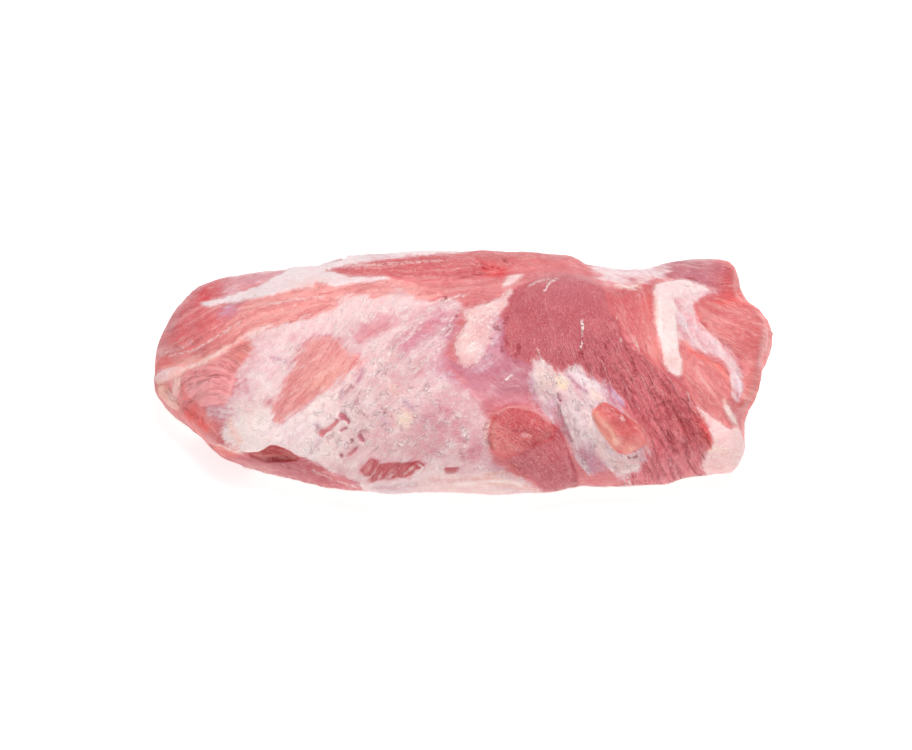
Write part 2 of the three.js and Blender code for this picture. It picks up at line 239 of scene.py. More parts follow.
h_far, h_near = edge_height(np.maximum, -1e3), edge_height(np.minimum, 1e3)
beyond = spots[:, 1] > -5
h_round = np.where(to_eye > 0, h, np.where(beyond, 2 * h_far - h, 2 * h_near - h))
print("h runs from", round(h_round.min()), "to", round(h_round.max()))


# %% [markdown]
# ## Tools for marks
# A mark is an outline or a line of a few named points with a smooth curve through them. Two measures are
# enough for all of them: how deep a point lies inside an outline, and how far it lies to the side of a
# line. Smooth value noise, which is random but the same at every run, breaks up what would look drawn.

# %% Curves, depths and noise
def smooth_line(points, closed=False, step=1.5):
    """A curve through the points, as many short steps."""
    p = np.array(points, float)
    p = np.vstack([p[-1:], p, p[:2]]) if closed else np.vstack([2 * p[0] - p[1], p, 2 * p[-1] - p[-2]])
    out = []
    for a, b, c, d in zip(p, p[1:], p[2:], p[3:]):
        steps = max(1, int(np.linalg.norm(c - b) / step))
        t = (np.arange(steps) / steps)[:, None]
        bend, twist = 2 * a - 5 * b + 4 * c - d, 3 * b - a - 3 * c + d
        out.append(0.5 * (2 * b + (c - a) * t + bend * t**2 + twist * t**3))
    return np.vstack(out + ([] if closed else [p[-2:-1]]))


def nearest_on(curve, px, ph):
    """Distance to a curve, the side (left is positive) and the length along it."""
    best = np.full(len(px), 1e9)
    side = np.zeros(len(px))
    along = np.zeros(len(px))
    length = 0.0
    for (ax, ah), (bx, bh) in zip(curve, curve[1:]):
        dx, dh = bx - ax, bh - ah
        span = math.hypot(dx, dh)
        if span < 1e-6:
            continue
        t = np.clip(((px - ax) * dx + (ph - ah) * dh) / span**2, 0, 1)
        off = np.hypot(px - ax - t * dx, ph - ah - t * dh)
        closer = off < best
        best[closer] = off[closer]
        side[closer] = np.sign(dx * (ph - ah) - dh * (px - ax))[closer]
        along[closer] = (length + t * span)[closer]
        length += span
    return best, side, along


def depth_in(points, px=None, ph=None, reach=14.0):
    """How deep each point lies inside a closed outline; outside it is negative, down to minus reach."""
    px, ph = (x if px is None else px), (h_round if ph is None else ph)
    curve = smooth_line(points, closed=True)
    curve = np.vstack([curve, curve[:1]])
    lo, hi = curve.min(axis=0) - reach, curve.max(axis=0) + reach
    close = (px > lo[0]) & (px < hi[0]) & (ph > lo[1]) & (ph < hi[1])
    depth = np.full(len(px), -reach)
    cx, ch = px[close], ph[close]
    inside = np.zeros(len(cx), bool)
    for (ax, ah), (bx, bh) in zip(curve, curve[1:]):
        if ah != bh:
            crosses = (ah > ch) != (bh > ch)
            inside ^= crosses & (cx < ax + (ch - ah) / (bh - ah) * (bx - ax))
    off = nearest_on(curve, cx, ch)[0]
    depth[close] = np.maximum(np.where(inside, off, -off), -reach)
    return depth


def beside(points, reach=12.0):
    """Distance off an open line, its side and the length along it, for every point of the skin.

    A reach given as a whole number gives distances in whole millimetres, which roughens a thin line.
    """
    curve = smooth_line(points)
    lo, hi = curve.min(axis=0) - reach, curve.max(axis=0) + reach
    close = (x > lo[0]) & (x < hi[0]) & (h_round > lo[1]) & (h_round < hi[1])
    off, side, along = np.full(count, reach), np.zeros(count), np.zeros(count)
    off[close], side[close], along[close] = nearest_on(curve, x[close], h_round[close])
    ends = np.minimum(along, np.linalg.norm(np.diff(curve, axis=0), axis=1).sum() - along)
    return np.minimum(off, reach), side, along, ends


def patches(size, seed, points=None, octaves=3):
    """Smooth noise from 0 to 1 whose patches are about size millimetres wide."""
    points = spots if points is None else points
    total, weight = np.zeros(len(points)), 0.0
    for octave in range(octaves):
        q = points * (2**octave / size) + 31.7 * (seed + octave)
        cell = np.floor(q).astype(np.int64)
        f = q - cell
        f = f * f * (3 - 2 * f)
        value = np.zeros(len(points))
        for corner in range(2 ** points.shape[1]):
            key = np.full(len(points), seed * 974711 + octave * 7919, np.int64)
            share = np.ones(len(points))
            for axis in range(points.shape[1]):
                step = corner >> axis & 1
                key = key + (cell[:, axis] + step) * (374761393, 668265263, 1442695041)[axis]
                share = share * (f[:, axis] if step else 1 - f[:, axis])
            key = ((key ^ (key >> 13)) * 1274126177) & 0x7FFFFFFF
            key = ((key ^ (key >> 15)) * 461845907) & 0x7FFFFFFF
            value += share * (key & 0xFFFFFF) / 0xFFFFFF
        total += value * 0.5**octave
        weight += 0.5**octave
    return total / weight


def around(size, seed):
    """The same noise, from -0.5 to 0.5."""
    return patches(size, seed) - 0.5


def rise(value, low, high):
    """0 below low, 1 above high and smooth between them."""
    t = np.clip((value - low) / (high - low), 0, 1)
    return t * t * (3 - 2 * t)


WHITE_GLOSS, ROOM_LIGHT = 0.032, 1.04


def shade(red, green, blue):
    """Paint that looks like this colour, given from 0 to 255 as on a screen, once the white room lights it."""
    c = np.array([red, green, blue]) / 255
    c = np.where(c <= 0.04045, c / 12.92, ((c + 0.055) / 1.055) ** 2.4)
    return np.maximum(c - WHITE_GLOSS, 0.004) / ROOM_LIGHT


def lay(target, colour, share):
    target += (colour - target) * np.clip(share, 0, 1)[:, None]


def turned(across, up, turn):
    """The two numbers along and square to a direction given in degrees."""
    c, s = math.cos(math.radians(turn)), math.sin(math.radians(turn))
    return across * c + up * s, up * c - across * s


def feather(turn, seed, long=9.0, thin=1.3):
    """Noise from -0.5 to 0.5 drawn out in one direction, for edges that fray along their fibres."""
    u, v = turned(x, h_round, turn)
    drawn_out = np.stack([u / long, v / thin], axis=1)
    return patches(1.0, seed, drawn_out, 2) - 0.5


wobble = around(9, 1)
fine_wobble = around(3, 2)
print("points:", count)

# %% [markdown]
# ## The lean muscles
# A shoulder is a bundle of muscles, each with a red of its own and fibres that run its own way. Cut across,
# the fibres show as a fine speckle; cut along, they show as streaks. So each muscle is given an outline, a
# colour, the direction of its fibres, and how much speckle and streak it shows.

# %% Muscles: outline, colour, fibre direction in degrees, speckle, streak, softness of the edge in mm
MUSCLES = {
    "far_rolls": ([(-120, 62), (-60, 72), (20, 74), (90, 66), (100, 75), (90, 100), (20, 106), (-60, 104),
        (-118, 92)], (212, 116, 120), 4, 0.3, 0.7, 5),
    "ridge": ([(-15, 66), (5, 69), (18, 73), (40, 78), (66, 78), (82, 70), (80, 60.5), (62, 60), (40, 60.5),
        (28, 61), (14, 64)], (213, 120, 122), -6, 0.4, 0.6, 1.5),
    "behind_dome": ([(-80, 59.5), (-60, 63.5), (-40, 66.5), (-20, 68.5), (5, 69), (14, 64), (28, 59.5),
        (18, 57.5), (0, 55), (-28, 53.5), (-46, 56), (-65, 56)], (212, 106, 111), 3, 0.2, 1.0, 1.2),
    "dome_top": ([(28, 60), (48, 61), (66, 61), (82, 56), (92, 50), (104, 44), (112, 46), (100, 54), (86, 61),
        (70, 66), (44, 66)], (222, 128, 130), -20, 0.3, 0.7, 2.5),
    "mid_band": ([(-35, 53), (-10, 54), (20, 57), (48, 60), (50, 57), (31, 46), (20, 44), (0, 40), (-10, 42),
        (-33, 43)], (232, 142, 144), 3, 0.3, 0.8, 3),
    "long_band": ([(-182, 2), (-168, 6), (-150, 20), (-140, 28), (-132, 38), (-118, 46), (-100, 51), (-84, 54),
        (-60, 55), (-40, 55), (-10, 45), (-33, 41), (-36, 42), (-50, 40), (-60, 40), (-72, 37), (-80, 32),
        (-98, 27), (-110, 24), (-128, 19), (-138, 14), (-155, 6), (-170, 1)], (255, 172, 167), 18, 0.1, 1.0,
        1.2),
    "tip_roll": ([(-190, 8), (-182, 24), (-174, 38), (-162, 48), (-152, 41), (-135, 38), (-135, 33),
        (-140, 28), (-147, 20), (-155, 15), (-165, 11), (-176, 6)], (228, 118, 123), 28, 0.2, 0.9, 1.5),
    "top_strip": ([(-172, 50), (-160, 66), (-120, 74), (-98, 70), (-104, 61), (-110, 57), (-123, 51),
        (-138, 45), (-145, 42.5), (-158, 42)], (222, 150, 158), 20, 0.1, 1.0, 1.5),
    "curly": ([(-168, 0), (-155, 4), (-140, 12), (-126, 22), (-124, 14), (-130, 3), (-136, -8), (-138, -18),
        (-142, -21), (-158, -21), (-166, -22), (-172, -14), (-174, -6)], (252, 168, 170), 8, 0.1, 0.7, 2),
    "tip_edge": ([(-182, -6), (-176, -12), (-168, -17), (-160, -18), (-151, -29), (-144, -41), (-148, -52),
        (-160, -46), (-172, -36), (-184, -24), (-190, -10)], (220, 126, 128), -50, 0.2, 0.6, 1.5),
    "patch": ([(-110, -33), (-112.5, -24), (-110, -15), (-106, -6), (-101, 0), (-98, 10), (-92, 17), (-85, 20),
        (-75, 19.5), (-68, 12), (-57, 6), (-62, -1), (-75, -9), (-92, -20), (-102, -28)], (237, 158, 155), 48,
        0.3, 0.8, 1),
    "rose_patch": ([(-64, 18), (-56, 29), (-44, 33), (-36, 27), (-46, 20)], (228, 146, 153), 42, 0.1, 0.7, 4),
    "under_layer": ([(-146, -50), (-136, -51), (-124, -54), (-104, -54), (-94, -54), (-85, -57), (-75, -63),
        (-60, -68), (-40, -73), (-44, -84), (-96, -84), (-130, -78), (-152, -66)], (209, 122, 131), -12, 0.2,
        0.9, 1),
    # The pocket is a hollow under the film: its very dark red is painted shade.
    "pocket": ([(-127, -50), (-121, -50), (-114, -45.5), (-105, -48), (-97, -54), (-106, -56), (-118, -57),
        (-126, -54)], (170, 40, 52), -6, 0.1, 0.6, 1),
    "low_patch": ([(-60, -59), (-57, -56.5), (-53, -53), (-50, -54), (-46, -56.5), (-40, -55), (-33, -55.5),
        (-26, -54.5), (-21, -57), (-21, -60), (-26, -61.5), (-31, -64.5), (-40, -66), (-48, -66.5), (-54, -68),
        (-55, -65), (-59, -62)], (188, 80, 88), 60, 0.2, 1.0, 0.8),
    "dome": ([(29, 46), (25.5, 38), (21.5, 30), (21.5, 22), (25, 9), (30, 5.5), (40, 4), (60, -2), (75, -8),
        (90, -13), (100, -26), (110, -38), (113, -50), (104, -58), (98, -66), (94, -80), (135, -78),
        (148, -60), (152, -44), (150, -36), (141, -20), (130, -6), (118, 5), (105, 13), (99, 18), (95, 28),
        (90, 36), (88, 47), (78, 56.5), (62, 59.5), (50, 57)], (193, 94, 103), -62, 0.85, 0.1, 1.5),
    "silver": ([(-14, 6), (0, -5), (8, -14), (16, -20), (38, -19), (43, -12), (46, -2), (40, 5), (30, 9),
        (24, 30), (14, 8), (2, 4)], (190, 110, 131), -30, 0.1, 0.4, 3),
    "ball": ([(19, -30), (24, -23), (30, -21.5), (38, -22), (45, -25), (57, -33), (62, -40), (68, -55),
        (71, -66), (70, -82), (52, -82), (46, -68), (34, -62), (27, -54), (19, -49), (17, -38)],
        (192, 94, 104), -50, 1.0, 0.3, 1),
    "ball_lobe": ([(18, -31), (24, -23.5), (30, -22), (38, -22.5), (45, -25.5), (53, -31), (58, -36),
        (54, -41), (47, -44), (40, -48), (32, -52), (25, -52), (18, -47), (16.5, -38)], (212, 98, 100), -35,
        1.0, 0.5, 1.5),
    "side_strip": ([(88, 46), (96, 50), (103, 50), (112, 52), (119, 52), (118, 35), (119, 20), (124, 0),
        (115, 6), (104, 14), (97, 26), (91, 36)], (212, 104, 108), -66, 0.2, 0.8, 1.5),
    "flap": ([(96, 66), (104, 60), (112, 57.5), (130, 54.5), (140, 50.5), (152, 47), (162, 45), (178, 43),
        (180, 96), (120, 100), (96, 90)], (188, 118, 130), -9, 0.1, 0.8, 1.5),
    "striped": ([(128, 20), (137, 17), (139, 11), (146, 8), (160, 1), (163, -3), (162, -14), (158, -25),
        (163, -35), (150, -27), (141, -20), (136, -8), (133, 0), (130, 10)], (238, 143, 142), -50, 0.1, 1.0,
        1.2),
    "end_lobe": ([(141, 38), (150, 43), (165, 43), (178, 42), (192, 32), (196, 10), (190, -8), (182, -22),
        (170, -32), (165, -24), (169, -13), (171, 0), (166, 8), (156, 17), (147, 26)], (221, 119, 119), -24,
        0.1, 0.9, 1.5),
    "knob": ([(79, -27), (82, -21.5), (87, -19.5), (93, -23), (100, -28), (107, -34), (111.5, -40),
        (111, -45.5), (105, -48), (101, -51), (95, -49.5), (89, -43.5), (83, -35)], (224, 108, 104), -42, 0.5,
        0.5, 1),
}
lean = np.tile(shade(214, 120, 124), (count, 1))
speckle, streak = np.full(count, 0.3), np.full(count, 0.6)
grain = np.stack([x, h_round, np.zeros(count)], axis=1)
muscle_depth = {}
for number, (name, (outline, colour, turn, spots_share, streak_share, soft)) in enumerate(MUSCLES.items()):
    depth = depth_in(outline)
    muscle_depth[name] = depth
    share = rise(depth + wobble * soft + 1.8 * soft * feather(turn, 60 + number), -soft / 2, soft / 2)
    lay(lean, shade(*colour), share)
    speckle += (spots_share - speckle) * share
    streak += (streak_share - streak) * share
    inside = share > 0.5
    u, v = turned(x, h_round, turn)
    grain[inside, 0], grain[inside, 1], grain[inside, 2] = u[inside], v[inside], 40.0 * (number + 1)
print("muscles:", len(MUSCLES))

# %% [markdown]
# ## Fibres that bend
# In a few muscles the fibres don't run straight. The long pale band follows its own curve, the curly muscle
# at the tip shows rings like a thumb print, and the fibres of the big dome fan out towards the lower right.
# There the fibre direction comes from a curve or from rings round a point.


# %% Bent fibres and shades inside a muscle
def polar(name, cx, ch):
    """Where a muscle's points lie round a point: which points, their angle and their distance."""
    return muscle_depth[name] > 0, np.arctan2(h_round - ch, x - cx), np.hypot(x - cx, h_round - ch)


inside, turn, away_from = polar("curly", -150, -32)
grain[inside, 0], grain[inside, 1] = (turn * np.maximum(away_from, 8))[inside], away_from[inside]
inside, turn, away_from = polar("dome", 20, 150)
grain[inside, 0], grain[inside, 1] = away_from[inside], (turn * 190)[inside]
inside = muscle_depth["long_band"] > -1
band_run = [(-182, 0), (-165, 9), (-146, 20), (-128, 30), (-105, 37), (-80, 43), (-50, 48), (0, 49)]
off, side, along, _ = beside(band_run, 30)
grain[inside, 0], grain[inside, 1] = along[inside], (off * side)[inside]
uneven = 0.6 + 0.8 * patches(5, 5)


def near_to(cx, ch, reach, stretch, turn):
    """A soft spot round a point, long in one direction, with uneven strength."""
    u, v = turned(x - cx, h_round - ch, turn)
    return np.exp(-((np.hypot(u / stretch, v) / reach) ** 2)) * uneven


def near_line(points, width):
    """A soft band along a line, a little crooked and uneven."""
    off, side, along, ends = beside(points, 4 * width)
    off = np.abs(off * np.where(side == 0, 1, side) + min(2.2, 0.7 * width) * wobble)
    return np.exp(-((off / width) ** 2)) * rise(ends, -1, 1.5 * width) * uneven


def stroke(points, width, colour, share):
    """A soft band of another shade of lean along a line."""
    lay(lean, shade(*colour), share * near_line(points, width))


def tone(cx, ch, reach, colour, share, stretch=1.0, turn=0.0):
    """A soft patch of another shade of lean."""
    lay(lean, shade(*colour), share * near_to(cx, ch, reach, stretch, turn))


silver_rim = [(-4, -10), (20, -15), (46, -15), (55, -29), (44, -23), (30, -20), (18, -27), (14, -34)]
lay(lean, shade(206, 122, 136), rise(depth_in(silver_rim) + 4 * wobble, -3, 3))
low_right = rise(x * 0.5 - h_round * 0.87, 20, 90) * rise(muscle_depth["dome"], -1, 3)
lay(lean, shade(230, 122, 130), 0.9 * low_right)
streak += 0.30 * low_right
for mark in (
    (60, 50, 12, (206, 118, 127), 0.8, 2.0), (64, 22, 14, (188, 90, 100), 0.7, 1.4, -60),
    (122, -58, 8, (218, 116, 126), 0.8, 1.8, 10), (132, -28, 12, (200, 94, 100), 0.8, 2.4, -60),
    (150, -42, 5, (232, 96, 90), 0.9, 1.5, -60), (-166, 6, 9, (238, 140, 138), 0.9, 1.8, 20),
    (-145, 17, 9, (240, 150, 148), 0.8, 2.0, 30), (-152, 46, 6, (226, 76, 84), 1.0, 1.8, 30),
    (-170, 18, 5, (232, 100, 106), 0.9, 1.6, 30), (-106, -24, 8, (240, 158, 156), 0.8),
    (-80, -5, 6, (248, 178, 165), 0.9, 3.2, 38), (-130, 12, 6, (244, 152, 145), 0.9, 1.6, 60),
    (-143, -51, 4, (240, 130, 120), 0.9, 2.2, -14), (36, -29, 6, (204, 88, 92), 0.9, 1.6, -25),
    (23, -42, 5, (230, 126, 124), 0.9, 1.8, 80), (26, -46, 4, (232, 124, 116), 0.8, 1.6, -10),
    (48, -38, 5, (204, 92, 96), 0.7, 1.8, -40), (113, 40, 4, (228, 84, 84), 0.9, 2.0, -80),
    (115, 14, 4, (250, 158, 148), 0.9, 2.5, -70), (112, 28, 5, (226, 120, 118), 0.8, 3.0, 90),
    (98, 38, 6, (212, 110, 114), 0.8, 2.0, -60), (162, 54, 9, (206, 92, 96), 0.9, 2.0, 60),
    (166, 47, 4, (222, 86, 84), 0.9, 2.0, 20), (83, -29, 3.5, (250, 164, 146), 1.0, 3.0, -48),
    (96, -31, 4.5, (216, 90, 92), 0.9, 2.2, -40), (107, -42, 5, (244, 146, 140), 1.0, 1.4, -60),
    (94, -42, 2.2, (252, 206, 184), 0.9, 1.3, -40), (90, -34, 2.0, (214, 88, 86), 0.8, 1.5, -50),
    (98, -41, 2.0, (210, 84, 84), 0.8, 1.2, -30), (103, -46, 2.0, (250, 176, 162), 0.8),
    (86, -27, 1.8, (228, 112, 104), 0.8, 1.4, -50), (101, -47, 3.0, (250, 180, 160), 0.9),
    (20, 60, 4, (222, 82, 82), 0.8, 2.6, -14), (-30, 61, 4, (214, 106, 110), 0.6, 5, 4),
    (-50, 47, 6, (238, 160, 158), 0.8, 3.5, 3), (-120, -61, 6, (214, 140, 144), 0.9, 2.2, -4),
    (92, 2, 11, (190, 86, 96), 0.6, 1.6, -40), (-104, -20, 5, (242, 168, 168), 0.8),
):
    tone(*mark)
for points, width, colour, share in (
    ([(-168, -22), (-158, -28), (-148, -40)], 5.5, (246, 104, 98), 1.0),
    ([(-171, -25.5), (-163, -33), (-153, -43)], 1.6, (240, 112, 104), 0.9),
    ([(-181, -8), (-175, -14), (-169, -22)], 2.5, (250, 172, 158), 0.9),
    ([(-185, 4), (-184, -4), (-181, -9)], 2.0, (236, 112, 104), 0.9),
    ([(-170, -6), (-166, -12), (-164, -19)], 2.0, (240, 120, 112), 0.8),
    ([(-133, 3), (-131, 12), (-128, 21)], 5.0, (240, 142, 136), 0.95),
    ([(-184, -2), (-180, 5), (-172, 8)], 3.5, (230, 104, 100), 0.9),
    ([(-172, 7), (-160, 9), (-150, 15)], 3.0, (236, 150, 152), 0.7),
    ([(-174, 2.5), (-165, 5), (-154, 9)], 2.6, (254, 182, 174), 0.9),
    ([(-134, 6), (-130, 12), (-126, 20)], 5.0, (252, 160, 152), 0.8),
    ([(-160, 24), (-150, 29), (-142, 33)], 3.5, (230, 104, 106), 0.7),
    ([(-176, 20), (-168, 34), (-158, 44)], 3.0, (214, 104, 112), 0.8),
    ([(-150, -50), (-142, -53), (-134, -55)], 2.2, (244, 138, 126), 0.9),
    ([(79, -26), (82, -33), (88, -42), (94, -49)], 2.4, (247, 166, 146), 0.95),
    ([(87, -22.5), (94, -28), (100, -34), (105, -39)], 1.9, (202, 70, 74), 0.9),
    ([(92, -20.5), (100, -26), (107, -32.5), (111, -39)], 1.1, (240, 162, 162), 0.85),
    ([(86, -30), (91, -37), (94, -42)], 1.2, (252, 196, 168), 0.8),
    ([(98, -44), (99, -48), (99, -51)], 1.6, (240, 140, 124), 0.8),
    ([(104, -38), (108, -43), (109, -47)], 1.2, (238, 128, 124), 0.7),
    ([(22, -27), (28, -23.2), (36, -22.3), (46, -25.5), (55, -32.5)], 1.1, (238, 172, 172), 0.8),
    ([(22, -30), (20, -38), (23, -47)], 2.2, (238, 150, 144), 0.9),
    ([(36, -39.5), (40, -39), (43, -40)], 1.2, (240, 176, 174), 0.7),
    ([(31, -36.8), (37, -36.5), (44, -37)], 0.9, (170, 60, 70), 0.8),
    ([(24, -34), (30, -33), (38, -31)], 1.5, (196, 66, 72), 0.7),
    ([(46, -36), (52, -39), (57, -43)], 1.4, (180, 58, 66), 0.8),
    ([(36, -43), (44, -45), (50, -44)], 1.6, (190, 66, 72), 0.7),
    ([(60, -44), (64, -54), (66, -64)], 1.6, (208, 128, 136), 0.7),
    ([(-96, -52), (-85, -56.5), (-75, -61.5), (-62, -67.5), (-48, -72)], 1.1, (164, 92, 114), 0.8),
    ([(-94, -58), (-80, -64), (-66, -70)], 2.4, (214, 104, 112), 0.8),
    ([(154, 38), (163, 41), (174, 38)], 3.5, (224, 104, 104), 0.8),
    ([(44, 57), (56, 58.5), (68, 58), (80, 55), (92, 49)], 2.4, (228, 152, 155), 0.7),
    ([(12, 61), (18, 60.5), (27, 58.8)], 1.6, (222, 62, 68), 0.9),
    ([(0, 55.5), (6, 56.5), (14, 58.5)], 0.8, (170, 50, 60), 0.8),
    ([(170, -2), (174, -10), (170, -20)], 4.0, (238, 148, 142), 0.8),
    ([(140, -24), (147, -34), (150, -44)], 2.4, (226, 78, 80), 0.8),
    ([(136, 14), (146, 7), (156, 1), (161, -6)], 1.6, (244, 118, 106), 0.8),
    ([(28, -54), (34, -60), (40, -66)], 2.0, (206, 112, 112), 0.7),
):
    stroke(points, width, colour, share)
# Painted light: where the right end's rim turns away from the eye it is painted a brighter, redder coral, to make
# up for the shade and grey sheen it gets there.
end_rim_painted_light = rise(0.55 - to_eye, 0, 0.4) * rise(x, 146, 164) * rise(to_eye, -0.3, -0.1) * rise(spots[:, 2], 12, 24)
lay(lean, shade(255, 110, 104), 0.95 * end_rim_painted_light)
print("lean shades laid")

# %% [markdown]
# ## Films and sinew
# A thin white film wraps the muscles. Where it is thick it looks cream, where it is thin the red shows
# through as rose and lilac, and its threads run in one direction. It is laid as an amount from 0 to 1 with
# a tint, and the material later breaks its edge up into threads.

# %% Films: outline, tint, amount, thread direction, softness of the edge
FILMS = {
    "main_film": ([(-128, 22), (-110, 28), (-98, 31), (-80, 36), (-72, 42), (-60, 44.5), (-50, 44), (-40, 46),
        (-36, 48), (-20, 42), (-10, 42), (2, 38), (-3, 20), (-6, 8), (4, -10), (14, -22), (18, -36), (20, -52),
        (34, -64), (48, -72), (50, -84), (0, -88), (-42, -84), (-52, -70), (-62, -67), (-78, -61), (-88, -55),
        (-98, -50), (-113, -45), (-121, -50), (-133, -47), (-142, -41), (-141, -34), (-148, -31), (-152, -23),
        (-142, -20), (-137, -10), (-134, 2), (-126, 14)], (231, 190, 192), 1.05, 42, 4),
    "cream_corner": ([(-138, -26), (-127, -28), (-114, -31), (-108, -34), (-98, -26), (-82, -15), (-78, -24),
        (-84, -36), (-82, -45), (-84, -55), (-98, -50), (-104, -48), (-113, -45), (-121, -50), (-133, -47),
        (-143, -40), (-140, -34)], (251, 229, 225), 1.5, 20, 5),
    "thin_top": ([(77, 62), (95, 64), (125, 60), (118, 54), (104, 52), (92, 50), (84, 56)], (244, 205, 204),
        0.75, -14, 4),
    "flap_film": ([(86, 62), (98, 71), (112, 74), (124, 72), (128, 66), (118, 61), (100, 58)], (240, 216, 220),
        0.6, -9, 7),
    "sinew": ([(44, 3), (50, 5), (60, 0), (70, 3), (80, -4), (90, -9), (97, -19), (101, -27), (111, -40),
        (113, -52), (109, -58), (103, -63), (96, -66), (90, -61), (76, -63), (70, -57), (64, -46), (58, -35),
        (50, -25), (41, -15)], (231, 196, 200), 0.98, -60, 4),
    "patch_haze": ([(12, 34), (18, 40), (26, 36), (26, 24), (24, 10), (20, 1), (10, -4), (-2, -4), (-10, 6),
        (-6, 22)], (206, 146, 168), 0.45, 42, 5),
    "right_film": ([(126, 51), (142, 52), (155, 47), (143, 42), (141, 35), (146, 26), (155, 19), (162, 12),
        (168, 4), (170, -4), (169, -14), (165, -20), (163, -12), (162, -2), (156, 6), (149, 9), (139, 13),
        (136, 18), (130, 20), (126, 34)], (238, 200, 205), 0.9, -48, 3),
    "tip_strip": ([(-142, 45), (-120, 52), (-106, 60), (-104, 66), (-124, 62), (-138, 54)], (232, 190, 200),
        0.5, 20, 7),
    "purple_thread": ([(-147, 35), (-140, 41), (-132, 40), (-133, 33), (-141, 30)], (206, 160, 190), 0.5, 28,
        4),
}
lay(lean, shade(214, 136, 150), 0.8 * rise(depth_in(FILMS["main_film"][0]), 0, 6) * (muscle_depth["patch"] < 0)
    * (muscle_depth["low_patch"] < 0))
film = np.zeros(count)
film_tint = np.tile(shade(236, 208, 208), (count, 1))
threads = np.stack([x, h_round, np.zeros(count)], axis=1)
for number, (name, (outline, tint, amount, turn, soft)) in enumerate(FILMS.items()):
    depth = depth_in(outline)
    fray = feather(turn, 90 + number)
    if name == "main_film":
        fray = np.where(h_round > 0, feather(24, 98), 0.25 * feather(-28, 99))
    share = rise(depth + wobble * soft + 1.5 * soft * fray, -soft * 0.8, soft * 1.1)
    film = np.maximum(film, amount * share)
    lay(film_tint, shade(*tint), rise(depth, -soft * 2, 0))
    inside = depth > -soft
    u, v = turned(x, h_round, turn)
    v = v + (6 * np.sin(x / 23 + number) + 5 * around(30, 7))
    threads[inside, 0], threads[inside, 1], threads[inside, 2] = u[inside], v[inside], 50.0 * (number + 1)


def retint(near, tint, share, thin):
    """Another tint in the film where near is 1, and how much it thins or thickens there."""
    global film
    lay(film_tint, shade(*tint), share * near)
    film = film * (1 - np.clip(thin * near, -1, 1))


def film_tone(cx, ch, reach, tint, share, stretch=1.0, turn=0.0, thin=0.0):
    """Another tint in the film round a point."""
    retint(near_to(cx, ch, reach, stretch, turn), tint, share, thin)


BARE = (("patch", 5, 48), ("low_patch", 2.2, 20), ("pocket", 0.6, 0), ("knob", 0.8, -42), ("ball", 1.2, -35))
for name, soft, turn in BARE:
    film *= 1 - rise(muscle_depth[name] + 1.4 * soft * feather(turn, 120), -soft, soft)
film *= 1 - 0.75 * rise(muscle_depth["rose_patch"] + wobble * 6, -5, 4)
for mark in (
    (-118, -30, 16, (246, 222, 216), 1.0, 1.6, 20), (-100, -42, 12, (243, 218, 214), 1.0, 1.8),
    (-100, 24, 9, (250, 214, 214), 1.0, 2.6, 25), (-70, 38, 8, (248, 206, 208), 0.9, 2.4, 20),
    (-118, -2, 8, (246, 214, 214), 1.0, 2.0, 60), (-33, -30, 5, (250, 226, 200), 1.0),
    (-40, -11, 5, (246, 196, 176), 0.8), (-62, -28, 12, (224, 190, 190), 0.8, 1.6, 40),
    (-20, 28, 8, (228, 172, 182), 0.9, 2.4, 42, 0.45), (-10, 8, 8, (214, 156, 176), 0.9, 1.8, 42, 0.4),
    (-26, 6, 10, (224, 178, 182), 0.9, 2.6, 42), (-42, 2, 6, (226, 178, 182), 0.9, 2.0, 42),
    (-10, -32, 14, (214, 162, 170), 0.9, 1.4, 60, 0.3), (8, -50, 9, (224, 172, 180), 0.9, 1.6, 70, 0.35),
    (-30, -46, 12, (220, 174, 176), 0.8, 1.6, -20, 0.15), (-148, -27, 8, (222, 188, 198), 0.9, 1.6, -40, 0.35),
    (-158, -18.5, 2.5, (238, 196, 200), 0.9, 2.0, -10, -0.5), (-134, -8, 8, (226, 180, 188), 0.8, 2.0, 60, 0.4),
    (-122, 12, 6, (234, 186, 190), 0.8, 1.8, 45, 0.3), (-25, -64, 8, (240, 212, 212), 1.0, 4.0, 2),
    (52, -6, 8, (226, 190, 188), 0.8, 1.4, -40), (61, -9, 3, (250, 220, 190), 1.0),
    (80, -58, 9, (188, 142, 164), 1.0, 1.6, -60, 0.25), (56, -30, 6, (216, 170, 186), 0.9, 2.5, -58, 0.3),
    (92, -18, 3, (206, 160, 186), 0.9, 3.5, -55, 0.2), (100, -58, 7, (230, 186, 188), 1.0, 1.3, -30),
    (132, 30, 7, (238, 190, 198), 0.8, 2.0, 90, 0.2), (150, 12, 5, (228, 190, 196), 1.0, 2.5, -30, 0.15),
    (168, -6, 4, (234, 190, 198), 0.9, 2.5, 90), (-84, 28, 9, (250, 210, 211), 1.0, 2.6, 22),
    (-122, 2, 7, (246, 208, 212), 0.9, 2.4, 64), (-104, -40, 14, (248, 226, 223), 1.0, 2.0, 16),
    # The lilac tint at (24, -56), below and left of the ball, is a painted shadow.
    (24, -56, 6, (214, 172, 184), 1.0, 1.3, 0, 0.2), (-114, -20, 3.5, (226, 150, 156), 0.9, 1.3, 0, 0.7),
    (-118, -38, 12, (252, 231, 227), 1.0, 1.8, 10, -0.4), (-97, -36, 9, (252, 231, 229), 1.0, 1.5, 0, -0.4),
    (-130, 12, 5, (240, 180, 175), 0.6, 2.0, 60, 0.6),
):
    film_tone(*mark)
